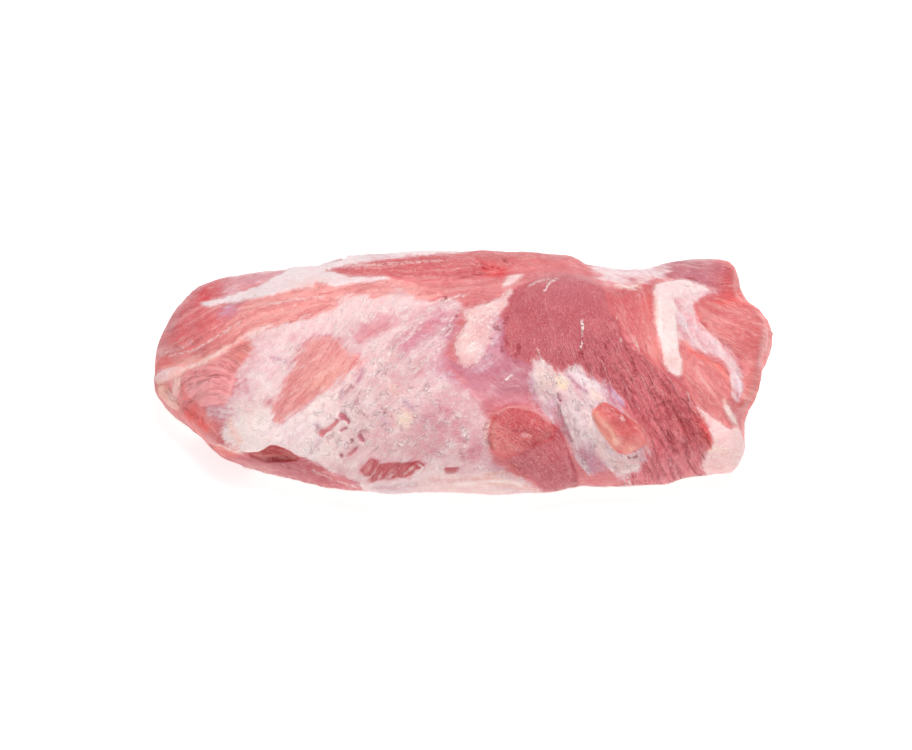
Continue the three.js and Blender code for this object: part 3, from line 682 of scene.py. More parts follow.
for points, width, tint, share, thin in (
    ([(-125, 24), (-100, 34), (-80, 38), (-60, 43), (-38, 48)], 5, (250, 213, 211), 0.9, 0),
    ([(-70, 33), (-50, 38), (-30, 42), (-10, 43)], 4, (249, 212, 212), 0.9, 0),
    ([(-100, 17), (-106, 4), (-114, -8), (-114, -22)], 5, (249, 220, 218), 0.9, 0),
    ([(-86, -23), (-74, -13), (-60, -4), (-50, 6), (-42, 14)], 3.5, (250, 218, 215), 1.0, 0),
    ([(-46, 11), (-34, 5), (-20, 0)], 5, (232, 192, 188), 0.9, 0),
    ([(-40, -2), (-26, 10), (-14, 20)], 4, (224, 184, 188), 0.8, 0),
    ([(-38, 8), (-27, 19), (-17, 27), (-7, 37)], 4.5, (208, 138, 162), 0.9, 0.3),
    ([(-6, 36), (-3, 27), (-6, 16), (-11, 6)], 4, (208, 138, 160), 0.9, 0.35),
    ([(-13, 3), (-4, 1), (4, -5), (16, -14)], 5, (194, 106, 130), 1.0, 0.5),
    ([(-58, 2), (-60, -4), (-62, -9)], 1.5, (188, 138, 164), 0.8, 0.2),
    ([(-70, -11), (-72, -18)], 1.3, (190, 140, 164), 0.7, 0.1),
    ([(-67, -20), (-62, -20.5), (-57, -23)], 1.3, (192, 142, 164), 0.7, 0.1),
    ([(-50, -26), (-45, -32), (-42, -36)], 1.8, (206, 158, 172), 0.7, 0),
    ([(-36, -17), (-31, -21), (-27, -25)], 1.6, (196, 150, 170), 0.8, 0),
    ([(-23, -26), (-20, -30), (-16, -34)], 3.0, (204, 148, 164), 0.8, 0.15),
    ([(-14, -20), (-10, -23), (-6, -27)], 1.5, (200, 132, 148), 0.7, 0.2),
    ([(-6, -36), (0, -40), (6, -42)], 3.5, (214, 152, 162), 0.8, 0.2),
    ([(-20, -46), (-14, -50), (-8, -52)], 2.0, (206, 150, 166), 0.7, 0.1),
    ([(4, -50), (10, -47), (15, -44)], 2.5, (206, 140, 156), 0.8, 0.3),
    ([(-88, -48), (-84, -40), (-86, -30)], 2.0, (206, 166, 178), 0.7, 0),
    ([(-80, -50), (-70, -56), (-60, -58)], 2.5, (248, 220, 216), 0.8, 0),
    ([(-124, 20), (-116, 8), (-112, -4), (-108, -16)], 6, (249, 211, 213), 1.0, -0.35),
    ([(-156, -21), (-147, -22), (-136, -24)], 0.8, (200, 150, 172), 0.6, 0.3),
    ([(-154, -24.5), (-146, -25.5), (-136, -27.5)], 0.7, (204, 156, 176), 0.6, 0.3),
    ([(-152, -28), (-144, -29.5), (-136, -31)], 0.7, (208, 160, 176), 0.6, 0.3),
    ([(-149, -31), (-143, -33), (-138, -34.5)], 0.7, (208, 160, 176), 0.6, 0.3),
    ([(-139, -28), (-136, -36), (-131, -45)], 2.2, (250, 204, 190), 0.8, 0),
    ([(-128, -46), (-118, -42), (-108, -46)], 3.0, (253, 234, 230), 0.9, -0.3),
    ([(-137, 1), (-136, -8), (-139, -17)], 1.6, (232, 178, 184), 0.7, 0.3),
    ([(-130, -2), (-128, -12), (-124, -20)], 2.0, (228, 172, 182), 0.7, 0.2),
    ([(-115, 8), (-108, 6), (-103, 4)], 1.2, (208, 162, 178), 0.7, 0.1),
    ([(-120, -5), (-112, -12), (-104, -14)], 2.0, (252, 232, 230), 0.9, -0.2),
    ([(-60, 31), (-52, 26), (-46, 22)], 1.2, (252, 224, 222), 0.7, -0.2),
    ([(50, 3), (49, -6), (53, -12)], 3.0, (242, 204, 194), 0.9, -0.3),
    ([(51, 11), (50, 5), (50, 0)], 0.8, (246, 222, 220), 0.9, -0.4),
    ([(57, -4), (62, -8), (60, -12)], 2.6, (253, 230, 202), 0.95, -0.3),
    ([(66, 1), (72, -5), (79, -9), (86, -12)], 2.6, (244, 222, 226), 0.9, -0.3),
    ([(64, -3), (70, -9), (77, -14)], 1.0, (184, 130, 158), 0.8, 0.2),
    ([(70, 0), (76, -4), (82, -6)], 0.8, (190, 138, 164), 0.8, 0.2),
    ([(59, -13), (59.5, -22), (62, -32), (67, -44)], 1.2, (176, 108, 134), 0.9, 0.2),
    ([(65, -16), (68, -28), (73, -40), (76, -46)], 4.0, (243, 220, 222), 0.95, -0.3),
    ([(56, -16), (55, -24), (59, -32)], 2.0, (228, 196, 210), 0.8, 0),
    ([(70, -46), (74, -52), (78, -58)], 2.6, (168, 104, 134), 0.9, 0.35),
    ([(80, -46), (82, -50), (84, -58)], 1.6, (182, 120, 148), 0.8, 0.25),
    ([(76, -22), (80, -34), (86, -44)], 1.6, (246, 222, 220), 0.9, -0.3),
    ([(80, -45), (87, -52), (96, -57), (106, -55)], 3.0, (238, 205, 202), 1.0, -0.5),
    ([(96, -61), (102, -60), (108, -57)], 1.4, (246, 226, 220), 0.9, -0.4),
    ([(90, -59), (93, -63), (95, -68)], 0.9, (250, 232, 228), 0.9, -0.6),
    ([(88, -9), (95, -17), (101, -27)], 1.3, (188, 148, 190), 0.9, -0.2),
    ([(78, -12), (82, -16), (86, -18)], 2.0, (250, 214, 200), 0.9, -0.2),
    ([(40, -21), (50, -27), (58, -36), (66, -52)], 0.9, (246, 224, 224), 0.8, -0.4),
    ([(44, -4), (42, -12), (45, -19)], 2.0, (196, 152, 178), 0.8, 0.1),
    ([(136, 44), (134, 34), (132, 24)], 2.4, (246, 220, 220), 0.8, 0),
    ([(140, 16), (148, 12), (157, 7), (164, 0)], 2.0, (248, 216, 218), 0.7, -0.1),
    # The lilac line from (166, 1) to (166, -18), beside the white arc, is a painted shadow.
    ([(166, 1), (168, -8), (166, -18)], 1.0, (206, 160, 172), 0.8, 0.1),
    ([(162, -3), (163.5, -10), (162, -17)], 1.2, (252, 230, 228), 0.8, -0.3),
    ([(131, 33), (133, 28), (136, 24)], 2.6, (216, 186, 200), 0.8, 0),
):
    retint(near_line(points, width), tint, share, thin)
silver_glaze = rise(muscle_depth["silver"] + wobble * 4, -2, 6)
film = np.maximum(film, 0.22 * silver_glaze)
print("films:", len(FILMS), "share covered", round(float((film > 0.5).mean()), 2))

# %% [markdown]
# ## Fat
# Fat lies in caps and strips on the muscles: cream to white, slightly proud of the lean, with a ragged edge.
# It is kept as a depth inside its outline. The material draws the edge where that depth passes zero, which
# stays sharp between the points of the skin. Past the far edge the caps break up into islands.

# %% Caps and strips of fat: outline and colour
FAT_CAPS = {
    "top_cap": ([(-155, 40), (-148, 42), (-140, 43.5), (-130, 47.5), (-120, 51), (-112, 56), (-104, 60),
        (-100, 68), (-96, 80), (-60, 82), (-30, 80), (4, 78), (5, 72.5), (-20, 69.5), (-40, 67.5), (-60, 64.5),
        (-80, 59.5), (-75, 58.5), (-65, 56), (-46, 56), (-42, 54.5), (-50, 54), (-60, 52.5), (-75, 51),
        (-86, 53), (-88, 50), (-100, 48.5), (-110, 45.5), (-120, 44), (-132, 41), (-143, 40), (-150, 38)],
        (247, 229, 231)),
    "bottom_band": ([(-60, -67), (-50, -69), (-33, -68), (-18, -62), (0, -63), (20, -61), (34, -64), (46, -71),
        (52, -78), (40, -88), (0, -92), (-46, -86)], (241, 210, 207)),
    "white_patch": ([(31.5, 47.5), (27, 45), (22, 42.5), (14, 39.5), (8, 38), (1, 36.5), (3, 30), (1, 23),
        (-3, 18), (-2.5, 11), (0, 5), (5, 2), (10, 3.5), (14, 9), (17, 16), (20, 23), (22, 30), (25, 36),
        (28.5, 42)], (234, 186, 186)),
    "curved_strip": ([(118, 50), (116.5, 45), (116.5, 35), (118, 26), (119.5, 18), (122.5, 5), (127, -1),
        (132.5, -3), (132.5, 6), (131, 14), (130, 27), (129, 40), (129, 50)], (253, 232, 229)),
    "strip_head": ([(118, 51), (119, 45), (130, 43), (142, 47), (150, 47.5), (144, 51), (132, 54)],
        (248, 222, 222)),
    "low_right": ([(142, -22), (152, -29), (163, -36), (166, -33), (171, -45), (174, -52), (172, -68),
        (155, -66), (146, -59), (147, -52), (152, -44), (148, -32)], (252, 214, 213)),
    "mid_spot": ([(26, 50.5), (30, 51.2), (34, 54), (37.5, 57.6), (32, 57.2), (28, 55)], (248, 216, 214)),
    "tip_lump": ([(-183.5, -5), (-180, -1), (-175, 1.2), (-168, 2), (-162, 1), (-166, -1.5), (-170, -3.5),
        (-175, -6.5), (-181, -9)], (248, 206, 204)),
    "tip_fold": ([(-181, -10), (-178, -9), (-172, -16), (-168.5, -23), (-171, -25), (-176, -20), (-181, -15)],
        (248, 186, 172)),
    "tip_ridge": ([(-171, -3), (-168, -2), (-168.5, -9), (-170, -14), (-171.5, -19), (-173, -15), (-172, -9)],
        (250, 200, 192)),
}
FAT_DEPTH = 10.0
fat = np.full(count, -FAT_DEPTH)
past_edge = np.maximum(h_round - h_far, 0) * (0.25 + 1.1 * patches(16, 43))
fat_tint = np.tile(shade(244, 214, 212), (count, 1))
for name, (outline, tint) in FAT_CAPS.items():
    depth = depth_in(outline) + 1.6 * wobble + 1.2 * fine_wobble - past_edge
    if name == "white_patch":
        depth += 2.0 * fine_wobble + 3.0 * feather(52, 84, 7.0, 1.1)
    lay(fat_tint, shade(*tint), rise(depth, -3, -1))
    fat = np.maximum(fat, np.clip(depth, -FAT_DEPTH, FAT_DEPTH))


def fat_tone(cx, ch, reach, tint, share, stretch=1.0, turn=0.0):
    """Another tint in the fat round a point."""
    lay(fat_tint, shade(*tint), share * near_to(cx, ch, reach, stretch, turn))


for mark in (
    (-90, 50, 4, (250, 196, 190), 0.6, 3.0, 10), (-50, 70, 5, (229, 201, 204), 0.9, 2.0),
    (12, 10, 6, (226, 186, 196), 0.9), (22, 28, 3.5, (214, 166, 178), 0.9, 2.0, 70),
    (17, 37, 5, (248, 218, 214), 0.9, 2.0, 30), (4, 24, 4, (246, 214, 210), 0.9, 2.5, 70),
    (8, 12, 5, (250, 222, 216), 0.9, 1.4), (117, 36, 1.6, (248, 176, 164), 0.7, 6.0, 90),
    (119, 12, 2.2, (248, 166, 152), 0.9, 4.0, -70), (128, 5, 5, (236, 200, 196), 0.9),
    (155, -58, 8, (242, 200, 196), 0.9, 1.4), (166, -50, 5, (250, 214, 210), 0.8),
    (-40, -71, 9, (224, 202, 206), 0.9, 2.0), (0, -69, 9, (236, 200, 198), 0.9, 2.0),
    (34, -66, 7, (222, 186, 192), 0.9, 1.6, -20),
):
    fat_tone(*mark)
for points, width, tint in (
    ([(6, -65.5), (20, -65), (34, -68), (46, -72)], 0.9, (236, 176, 166)),
    ([(10, -68.5), (24, -68.2), (38, -71)], 0.8, (238, 182, 172)),
    ([(14, -62.5), (26, -62), (35, -65)], 0.8, (232, 178, 172)),
    ([(-20, -65.5), (-8, -66), (4, -65.5)], 0.8, (232, 184, 182)),
    ([(-52, -70), (-38, -70.5), (-24, -68)], 1.0, (220, 180, 186)),
    ([(12, -66.7), (26, -66.4), (38, -69)], 1.2, (253, 232, 226)),
    ([(-4, -68), (8, -68), (18, -70)], 1.4, (252, 228, 224)),
    ([(148, -48), (154, -47), (160, -50)], 1.6, (252, 224, 210)),
):
    lay(fat_tint, shade(*tint), 0.9 * near_line(points, width))


def fat_line(points, half, tint=(246, 216, 212), rag=0.6):
    """A thin run of fat along a line, widest in the middle."""
    global fat
    off, side, along, ends = beside(points)
    depth = half * rise(ends, -2, 6) - off + rag * fine_wobble - 3 * (ends <= 0)
    lay(fat_tint, shade(*tint), rise(depth, -3, -0.5))
    fat = np.maximum(fat, np.clip(depth, -FAT_DEPTH, FAT_DEPTH))


for mark in (
    ([(-168, 1), (-160, 2.5), (-150, 7), (-143, 11.5), (-136, 15)], 1.3, (252, 208, 200)),
    ([(-136, 15.5), (-129, 20), (-120, 24.5), (-112, 27)], 0.5, (252, 212, 206)),
    ([(-181, 9.5), (-175, 11), (-167, 13.5), (-160, 18)], 0.35, (244, 190, 190)),
    ([(18, -29), (15.5, -35), (15, -41), (17, -46)], 1.0, (246, 206, 202), 2.2),
    ([(-149, -45), (-143, -46), (-137, -49), (-131, -52)], 0.9, (246, 206, 198)),
    ([(165, -2), (168, -9), (168, -17)], 0.8, (244, 222, 228)),
    ([(158, -17), (161, -25), (166, -33)], 1.3, (252, 222, 216)),
    ([(92, 51), (103, 50), (111, 54)], 0.5, (250, 220, 214)),
):
    fat_line(*mark)
print("fat covers", round(float((fat > 0).mean()), 2), "of the skin")

# %% [markdown]
# ## The sides that the eye doesn't see
# Underneath, a shoulder is covered by the fat that lay below the rind, with lean showing through where the
# knife went deeper. On the cut end the muscles show in cross section, each with a thin wall of fat round
# it. Both are worked out from the point's own place in three directions.

# %% Outer fat underneath, and the cut end
rim = 17 + 16 * around(34, 11) + 6 * around(9, 12)
outer_fat = rim - spots[:, 2] - 60 * np.maximum(to_eye + 0.02, 0)
bare = patches(42, 13, octaves=4)
outer_fat = np.minimum(outer_fat, 46 * (0.60 - bare))
lay(fat_tint, shade(243, 212, 206), rise(outer_fat, -4, -1) * (fat < 0))
fat = np.maximum(fat, np.clip(outer_fat, -FAT_DEPTH, FAT_DEPTH))
unseen = rise(-to_eye, 0.02, 0.2)
side_film = 0.75 * rise(patches(26, 14) + 0.35 * around(7, 15), 0.48, 0.62) * unseen
film = np.maximum(film, side_film * rise(h_round - h_far, 1, 8))

BUNDLES = [
    (-58, 34, (214, 112, 116)), (-30, 52, (226, 128, 128)), (-22, 20, (206, 100, 106)),
    (8, 40, (218, 118, 120)), (30, 18, (210, 108, 112)), (44, 50, (230, 134, 132)), (68, 24, (216, 120, 124)),
    (62, 64, (222, 140, 144)), (-4, 66, (222, 122, 122)),
]
end_share = rise(facing_out[:, 0], 0.5, 0.7) * rise(spots[:, 0], 146, 156) * rise(-to_eye, -0.07, 0.02)
bent = spots[:, 1:] + 16 * np.stack([around(22, 16), around(22, 17)], axis=1)
bent += 5 * np.stack([around(7, 45), around(7, 46)], axis=1)
nearness = np.stack([np.hypot(bent[:, 0] - by, bent[:, 1] - bz) for by, bz, _ in BUNDLES])
order = np.argsort(nearness, axis=0)
gap = np.take_along_axis(nearness, order[1:2], 0)[0] - np.take_along_axis(nearness, order[:1], 0)[0]
end_colour = np.stack([shade(*colour) for _, _, colour in BUNDLES])[order[0]]
lay(lean, end_colour, end_share)
speckle += (0.9 - speckle) * end_share
streak += (0.35 - streak) * end_share
on_end = end_share > 0.5
grain[on_end, 0], grain[on_end, 1] = spots[on_end, 1], spots[on_end, 2]
grain[on_end, 2] = 900 + 30 * order[0][on_end]
wall = 0.9 + 3.4 * (patches(15, 18) - 0.40) - gap
lay(fat_tint, shade(244, 208, 204), end_share * (wall > -2))
walled = np.maximum(fat, np.clip(wall, -FAT_DEPTH, FAT_DEPTH) - 8 * (end_share < 0.5))
fat = np.where(end_share > 0.3, walled, fat)
film *= 1 - 0.8 * end_share
print("cut end covers", int(on_end.sum()), "points")

# %% [markdown]
# ## Seams and threads
# Where two muscles meet there is a seam: a narrow valley, often with one side standing higher. It is drawn dark
# with painted shade of the deep valley, together with the darker colour of the moist tissue there. Fine white
# threads and short slits, dark with painted shade, are drawn in the same way, as lines.

# %% Seams: line, depth in mm, width, how much higher the left side stands, strength of the painted shade
SEAMS = {
    "behind_dome": ([(-40, 54), (-20, 54), (0, 55), (20, 58), (40, 59.5), (62, 60), (80, 57), (92, 50),
        (103, 44)], 0.6, 1.6, 0.4, 0.15),
    "crest_fold": ([(4, 67), (12, 63), (20, 61), (29, 60)], 1.6, 1.5, 0.6, 0.8),
    "dome_right": ([(89, 43), (94, 30), (99, 18), (108, 13), (118, 5), (130, -6), (141, -20), (150, -36),
        (152, -43)], 0.7, 1.3, -1.0, 0.5),
    "dome_foot": ([(26, 40), (25, 22), (27, 9), (33, 5), (44, 3)], 0.4, 1.4, 0.4, 0.2),
    "ball_ring": ([(20, -50), (17, -42), (18, -33), (22, -25), (30, -21), (42, -23), (54, -31), (61, -39),
        (66, -50), (70, -64), (71, -74)], 1.3, 1.3, -0.6, 0.55),
    "ball_fold": ([(58, -34), (54, -40), (48, -43), (42, -48), (36, -50), (30, -53)], 1.0, 1.2, 0.4, 0.6),
    "knob_left": ([(86, -19), (79, -26), (82, -33), (90, -43), (98, -50)], 1.0, 1.3, 0.9, 0.35),
    "knob_right": ([(86, -19), (96, -24), (106, -32), (112, -40)], 0.9, 1.2, -0.8, 0.35),
    "knob_end": ([(109, -35), (112.5, -42), (109, -48), (102, -52)], 1.6, 1.3, -0.9, 0.7),
    "pocket": ([(-127, -52.5), (-118, -55), (-110, -53.5), (-98, -55)], 1.6, 1.2, 0.8, 0.9),
    "layer": ([(-152, -47), (-138, -46.5), (-127, -50), (-117, -48), (-112, -45), (-104, -48), (-97, -52),
        (-85, -56.5), (-70, -65), (-55, -69)], 1.0, 1.2, 1.2, 0.5),
    "flap": ([(98, 55), (118, 53.5), (135, 51.5), (150, 48), (168, 44)], 0.9, 1.4, 0.4, 0.4),
    "flap_fold": ([(133, 58), (145, 54), (158, 51), (167, 50)], 0.8, 1.2, 0.5, 0.7),
    "lobe": ([(142, 36), (146, 27), (155, 19), (163, 12), (170, 2), (171, -8), (168, -17), (165, -25)], 1.0,
        1.3, 0.8, 0.35),
    "striped": ([(133, 1), (139, 11), (146, 8), (158, 3), (163, -4), (162, -15), (158, -26)], 0.7, 1.2, -0.4,
        0.4),
    "strip_left": ([(118, 47), (117, 35), (119, 20), (124, 1)], 0.6, 1.2, 0.7, 0.25),
    "tip_seam": ([(-178, 11), (-165, 15), (-152, 22), (-140, 30), (-131, 38)], 0.8, 1.3, 0.5, 0.35),
    "top_seam": ([(-158, 42), (-140, 43), (-125, 49), (-110, 56)], 0.7, 1.3, -0.3, 0.3),
    "low_patch": ([(-60, -60), (-58, -56), (-50, -54.5), (-42, -56.5), (-24, -55.5), (-17, -59)], 0.6, 1.0,
        0.3, 0.5),
    "far_seam": ([(-90, 84), (-40, 88), (10, 92), (60, 88), (92, 80)], 2.0, 2.4, 0.8, 0.4),
}
relief = np.zeros(count)
LINE_REACH = 6
# Lines of painted shade: at each point, the signed distance to the nearest one and its strength.
painted_shade_off, dark = np.full(count, float(LINE_REACH)), np.zeros(count)
wander = 2.4 * (patches(5, 22, octaves=2) - 0.5) + 0.9 * (patches(1.8, 23, octaves=1) - 0.5)


def draw_painted_shade(off, side, strength):
    """Keeps the nearest line of painted shade, as a distance with its side and a strength. The line wanders a
    little.
    """
    signed = off * np.where(side == 0, 1, side) + wander
    nearer = np.abs(signed) < np.abs(painted_shade_off)
    painted_shade_off[nearer] = signed[nearer]
    dark[nearer] = strength[nearer]


for line, deep, wide, step, seam_shade in SEAMS.values():
    off, side, along, ends = beside(line)
    fade = rise(ends, 0, 7) * rise(patches(11, 21), 0.30, 0.62)
    off = np.abs(off * side + 0.6 * wander)
    relief -= 0.75 * deep * fade * np.exp(-((off / wide) ** 2))
    relief += step * fade * side * (1 - np.exp(-((off / 1.2) ** 2))) * np.exp(-((off / 5) ** 2))
    draw_painted_shade(off, side, 0.7 * seam_shade * fade * rise(-off, -4, -2))

SLITS = [
    ([(-177, -10), (-172, -16), (-168, -23)], 0.35), ([(-170, -4), (-168.5, -8), (-169, -12)], 0.3),
    ([(-166, -22), (-156, -29), (-147, -37), (-142, -45)], 0.35),
    ([(-147, -46), (-149, -49), (-150, -52)], 0.5), ([(19, -29), (16, -34), (15.8, -40), (18, -46)], 0.45),
    ([(40, -59), (41, -58), (42, -58)], 0.8), ([(107, -49), (103, -52), (101, -50)], 0.8),
    ([(-66.8, -39.5), (-65.3, -41.5), (-64, -44)], 0.6), ([(-62, -36.8), (-58, -37), (-54.5, -40)], 0.4),
    ([(-81, -41), (-77.5, -39.5), (-75.5, -37.5)], 0.35), ([(-56, -40), (-55, -43), (-53, -45)], 0.5),
    ([(-69, -14), (-66, -10), (-64, -7)], 0.45), ([(-84, -44), (-86, -38), (-86, -33)], 0.35),
    ([(-62, -24), (-58, -27), (-55, -30)], 0.35), ([(-48, -22), (-44, -26), (-42, -30)], 0.35),
    ([(-30, -18), (-26, -14), (-20, -12)], 0.3), ([(-66, -22), (-62, -18), (-60, -14)], 0.3),
    ([(72.4, 11), (72.4, 8), (72.3, 5)], 1.0), ([(72.9, 11), (72.8, 8), (72.7, 5)], 1.0),
    ([(26, 67), (27, 66), (28, 65.5)], 0.9), ([(-8, 45), (-8.5, 43.5), (-9, 42)], 0.8),
    ([(59, -14), (59.3, -17), (59.5, -20)], 0.9), ([(73, -13), (74, -14), (75, -15)], 0.8),
    ([(101, -33), (102, -34), (103, -35)], 0.9), ([(2, -42), (4, -45), (6, -47)], 0.45),
    ([(8, -48), (10, -52), (12, -55)], 0.45), ([(-1, -48), (1, -51), (2, -54)], 0.4),
    ([(-6, 30), (-3, 33), (0, 36)], 0.5), ([(-12, 18), (-8, 22), (-4, 26)], 0.5),
    ([(-148, -52), (-147, -53), (-146, -54)], 0.7), ([(147, -51), (149, -52.5), (151, -53)], 0.5),
    ([(153, -57), (155, -57.6), (157, -57.4)], 0.35), ([(104, 8), (104, 2), (106, -5)], 0.6),
    ([(112, -4), (116, -12), (121, -22)], 0.5), ([(118, -14), (124, -24), (130, -38)], 0.6),
    ([(120, -30), (127, -44), (132, -56)], 0.5), ([(128, -22), (134, -34), (140, -48)], 0.5),
    ([(36, 16), (35, 11), (34, 7)], 0.6), ([(60, 16), (62, 12), (63, 8)], 0.5),
    ([(21, 27), (23, 24), (24, 21)], 0.7), ([(18, 20), (20, 17), (20.5, 14)], 0.6),
    ([(23, 15), (25, 12), (25.5, 9)], 0.7), ([(17, 11), (19, 8), (20, 5)], 0.5),
    ([(25, 20), (27, 18), (28, 15)], 0.6), ([(27, 33), (28, 29), (28, 26)], 0.6),
]
# Slits are narrow grooves, drawn dark with painted shade.
for line, strength in SLITS:
    off, side, along, ends = beside(line, LINE_REACH)
    draw_painted_shade(off, side, strength * rise(ends, -1, 1.5) * rise(-off, -4, -2))
    relief -= 0.45 * strength * np.exp(-((off / 0.9) ** 2)) * rise(ends, -1, 2)

OPENINGS = {
    "long_slot": ([(-85, -39), (-84, -35.5), (-80.5, -34.8), (-77, -31.5), (-74.5, -29), (-72, -30),
        (-74.5, -33.5), (-77.5, -36.5), (-80, -38), (-82.5, -41)], (208, 122, 128)),
    "round_hole": ([(-73.5, -27.5), (-71.8, -25), (-69, -26), (-67.5, -28.5), (-65.5, -30.5), (-66.5, -33),
        (-69.5, -30.5), (-71.5, -30)], (184, 106, 126)),
    "low_hole": ([(-61.5, -38.5), (-59.5, -38), (-58, -40.5), (-56.8, -42), (-57.8, -44.5), (-60, -43),
        (-61.5, -41)], (186, 112, 132)),
    "low_hook": ([(-61, -45.5), (-62, -48.5), (-65, -51), (-68.5, -52.6), (-68, -51), (-65, -48.8),
        (-62.8, -46)], (190, 106, 122)),
    "small_hook": ([(-73, -50.5), (-70.5, -50), (-69.5, -52), (-71.5, -53.5)], (180, 98, 116)),
    "slot_foot": ([(-73, -36.8), (-71, -34.6), (-68, -34.4), (-67.6, -35.6), (-70, -36), (-71.5, -37.6)],
        (200, 126, 140)),
    "notch": ([(-81, 64), (-75, 65.8), (-67, 69), (-68, 67.2), (-74, 64.4)], (196, 92, 98)),
    "spot": ([(-9.5, -58.5), (-6, -58.6), (-1, -58.4), (-2.5, -61.5), (-6, -62.6), (-9.5, -62)],
        (204, 110, 114)),
}
for outline, colour in OPENINGS.values():
    depth = depth_in(outline) + 1.1 * fine_wobble
    inside = 0.92 * rise(depth, -0.6, 0.8)
    lay(lean, shade(*colour), inside)
    film *= 1 - inside
    fat = np.where(inside > 0.5, np.minimum(fat, -depth), fat)
    relief += 0.5 * np.exp(-(((depth + 1.2) / 1.0) ** 2)) - 0.7 * inside
print("seams:", len(SEAMS), "slits:", len(SLITS), "openings:", len(OPENINGS))

# %% Fine white threads, kept like the dark lines
light_off, light = np.full(count, float(LINE_REACH)), np.zeros(count)
THREADS = [
    ([(-12, 21), (-7, 27), (-3, 34)], 0.7), ([(-16, 18), (-11, 24)], 0.6), ([(-9, 19), (-4, 26)], 0.6),
    ([(-55, -66), (-51, -60), (-48, -56)], 0.5), ([(-50, -66), (-45, -60)], 0.5),
    ([(-44, -66), (-38, -60)], 0.4), ([(-34, -64), (-30, -60), (-27, -57)], 0.5),
    ([(-27, -57.5), (-24.5, -56.5), (-22.5, -58.5), (-24.5, -61)], 0.8),
    ([(-3, -56), (2, -56.5), (6, -58)], 0.5), ([(73.2, 31), (73.2, 22), (72.6, 12)], 1.0),
    ([(50, 45), (52, 50), (56, 53.5), (60, 55)], 0.8), ([(25, -8), (29, -5), (32, -3)], 0.8),
    ([(-40, -47), (-38, -43), (-35, -45), (-32, -42)], 0.8), ([(-34, 18), (-24, 28), (-16, 38)], 0.5),
    ([(-48, 12), (-30, 26), (-14, 40)], 0.5), ([(-52, -2), (-40, 12), (-22, 26)], 0.5),
    ([(-60, -20), (-48, -8), (-36, 4)], 0.4), ([(-30, -4), (-18, 8), (-8, 16)], 0.5),
    ([(-12, 40), (-4, 43), (6, 46)], 0.6), ([(40, 50), (46, 53), (55, 55)], 0.4),
    ([(92, 54), (102, 49), (110, 50)], 0.5), ([(94, 33), (95, 30)], 0.7), ([(112, 22), (114, 18)], 0.7),
    ([(104, 20), (108, 10)], 0.4), ([(46, 14), (48, 6), (52, 2)], 0.5),
    ([(52, -6), (60, -22), (68, -40), (72, -52)], 0.5), ([(60, -2), (70, -18), (78, -34), (86, -50)], 0.5),
    ([(70, 0), (80, -10), (90, -22), (100, -34)], 0.4), ([(98, -60), (101, -66), (103, -70)], 0.8),
    ([(136, -12), (140, -22)], 0.5), ([(-176, 8), (-160, 12), (-146, 20), (-130, 30)], 0.5),
    ([(-120, 38), (-100, 42), (-80, 44)], 0.4), ([(-70, 62), (-40, 64), (-10, 66)], 0.4),
    ([(-100, 0), (-88, 6), (-76, 14)], 0.25), ([(-104, -16), (-92, -8), (-80, 0)], 0.25),
    ([(96, 20), (97, 14)], 0.4), ([(-90, -60), (-76, -66), (-60, -71)], 0.4),
]
for line, strength in THREADS:
    off, side, along, ends = beside(line, LINE_REACH)
    signed = off * np.where(side == 0, 1, side) + 0.3 * wander
    nearer = np.abs(signed) < np.abs(light_off)
    light_off[nearer] = signed[nearer]
    share = strength * rise(ends, -0.5, 3) * rise(-off, -4, -2)
    light[nearer] = (share * rise(patches(7, 24), 0.15, 0.4))[nearer]
print("threads:", len(THREADS))

# %% [markdown]
# ## Relief
# The last shape work moves each point along its own normal by part of a millimetre: fat stands proud and
# lumpy, films are thin and threaded, and lean is ribbed along its fibres. Noise that is stretched along the
# fibres gives ribs and creases that follow every muscle.

# %% Fibre ribs, fat lumps and film threads
lined = np.stack([grain[:, 0] / 11, grain[:, 1] / 1.5, grain[:, 2]], axis=1)
ribs = patches(1.0, 31, lined, 2) - 0.5
creases = np.exp(-((np.abs(patches(1.0, 32, lined * (0.6, 0.42, 1), 2) - 0.5) / 0.06) ** 2))
threaded = np.stack([threads[:, 0] / 14, threads[:, 1] / 1.8, threads[:, 2]], axis=1)
film_ribs = patches(1.0, 33, threaded, 2) - 0.5
on_fat = rise(fat, -0.3, 1.0)
bare_lean = (1 - on_fat) * (1 - np.clip(film, 0, 1))
furrowed = rise(x * 0.5 - h_round * 0.87, 0, 60) * rise(muscle_depth["dome"], 0, 3)
furrowed += 0.6 * rise(muscle_depth["curly"], 0, 3)
relief += bare_lean * streak * 0.9 * ribs
relief -= bare_lean * creases * (0.15 + 0.75 * furrowed + 0.25 * (muscle_depth["striped"] > 0))
relief += on_fat * (0.55 + 1.3 * (patches(7, 34) - 0.4) + 0.7 * around(3, 35))
film_thickness = np.clip(film, 0, 1)
film_bumps = 0.15 + 0.7 * film_ribs + 1.2 * around(8, 36) + 0.5 * around(3, 40)
relief += film_thickness * (1 - on_fat) * film_bumps
relief += bare_lean * (1.0 * around(6, 37) + 0.35 * speckle * around(2.2, 38))
rough_sinew = rise(depth_in(FILMS["sinew"][0]), 0, 4) * (1 - rise(muscle_depth["knob"], -1, 1))
relief += rough_sinew * (2.6 * around(4.5, 39) + 0.4 * film_ribs)
relief += rise(muscle_depth["knob"] + 2 * fine_wobble, -0.6, 3.5) * (2.2 + 3.6 * around(6, 42))
relief += 1.6 * rise(muscle_depth["ball_lobe"], -0.5, 6)
relief -= 1.8 * rise(muscle_depth["pocket"], -0.3, 2)


def move_skin(by):
    """Moves the points along their normals and keeps them inside the part's box."""
    global spots
    lo, hi = np.array(part_box[0]) * 1000, np.array(part_box[1]) * 1000
    spots = np.clip(spots + facing_out * by[:, None], lo, hi)
    meat.data.vertices.foreach_set("co", (spots / 1000).ravel())
    meat.data.update()


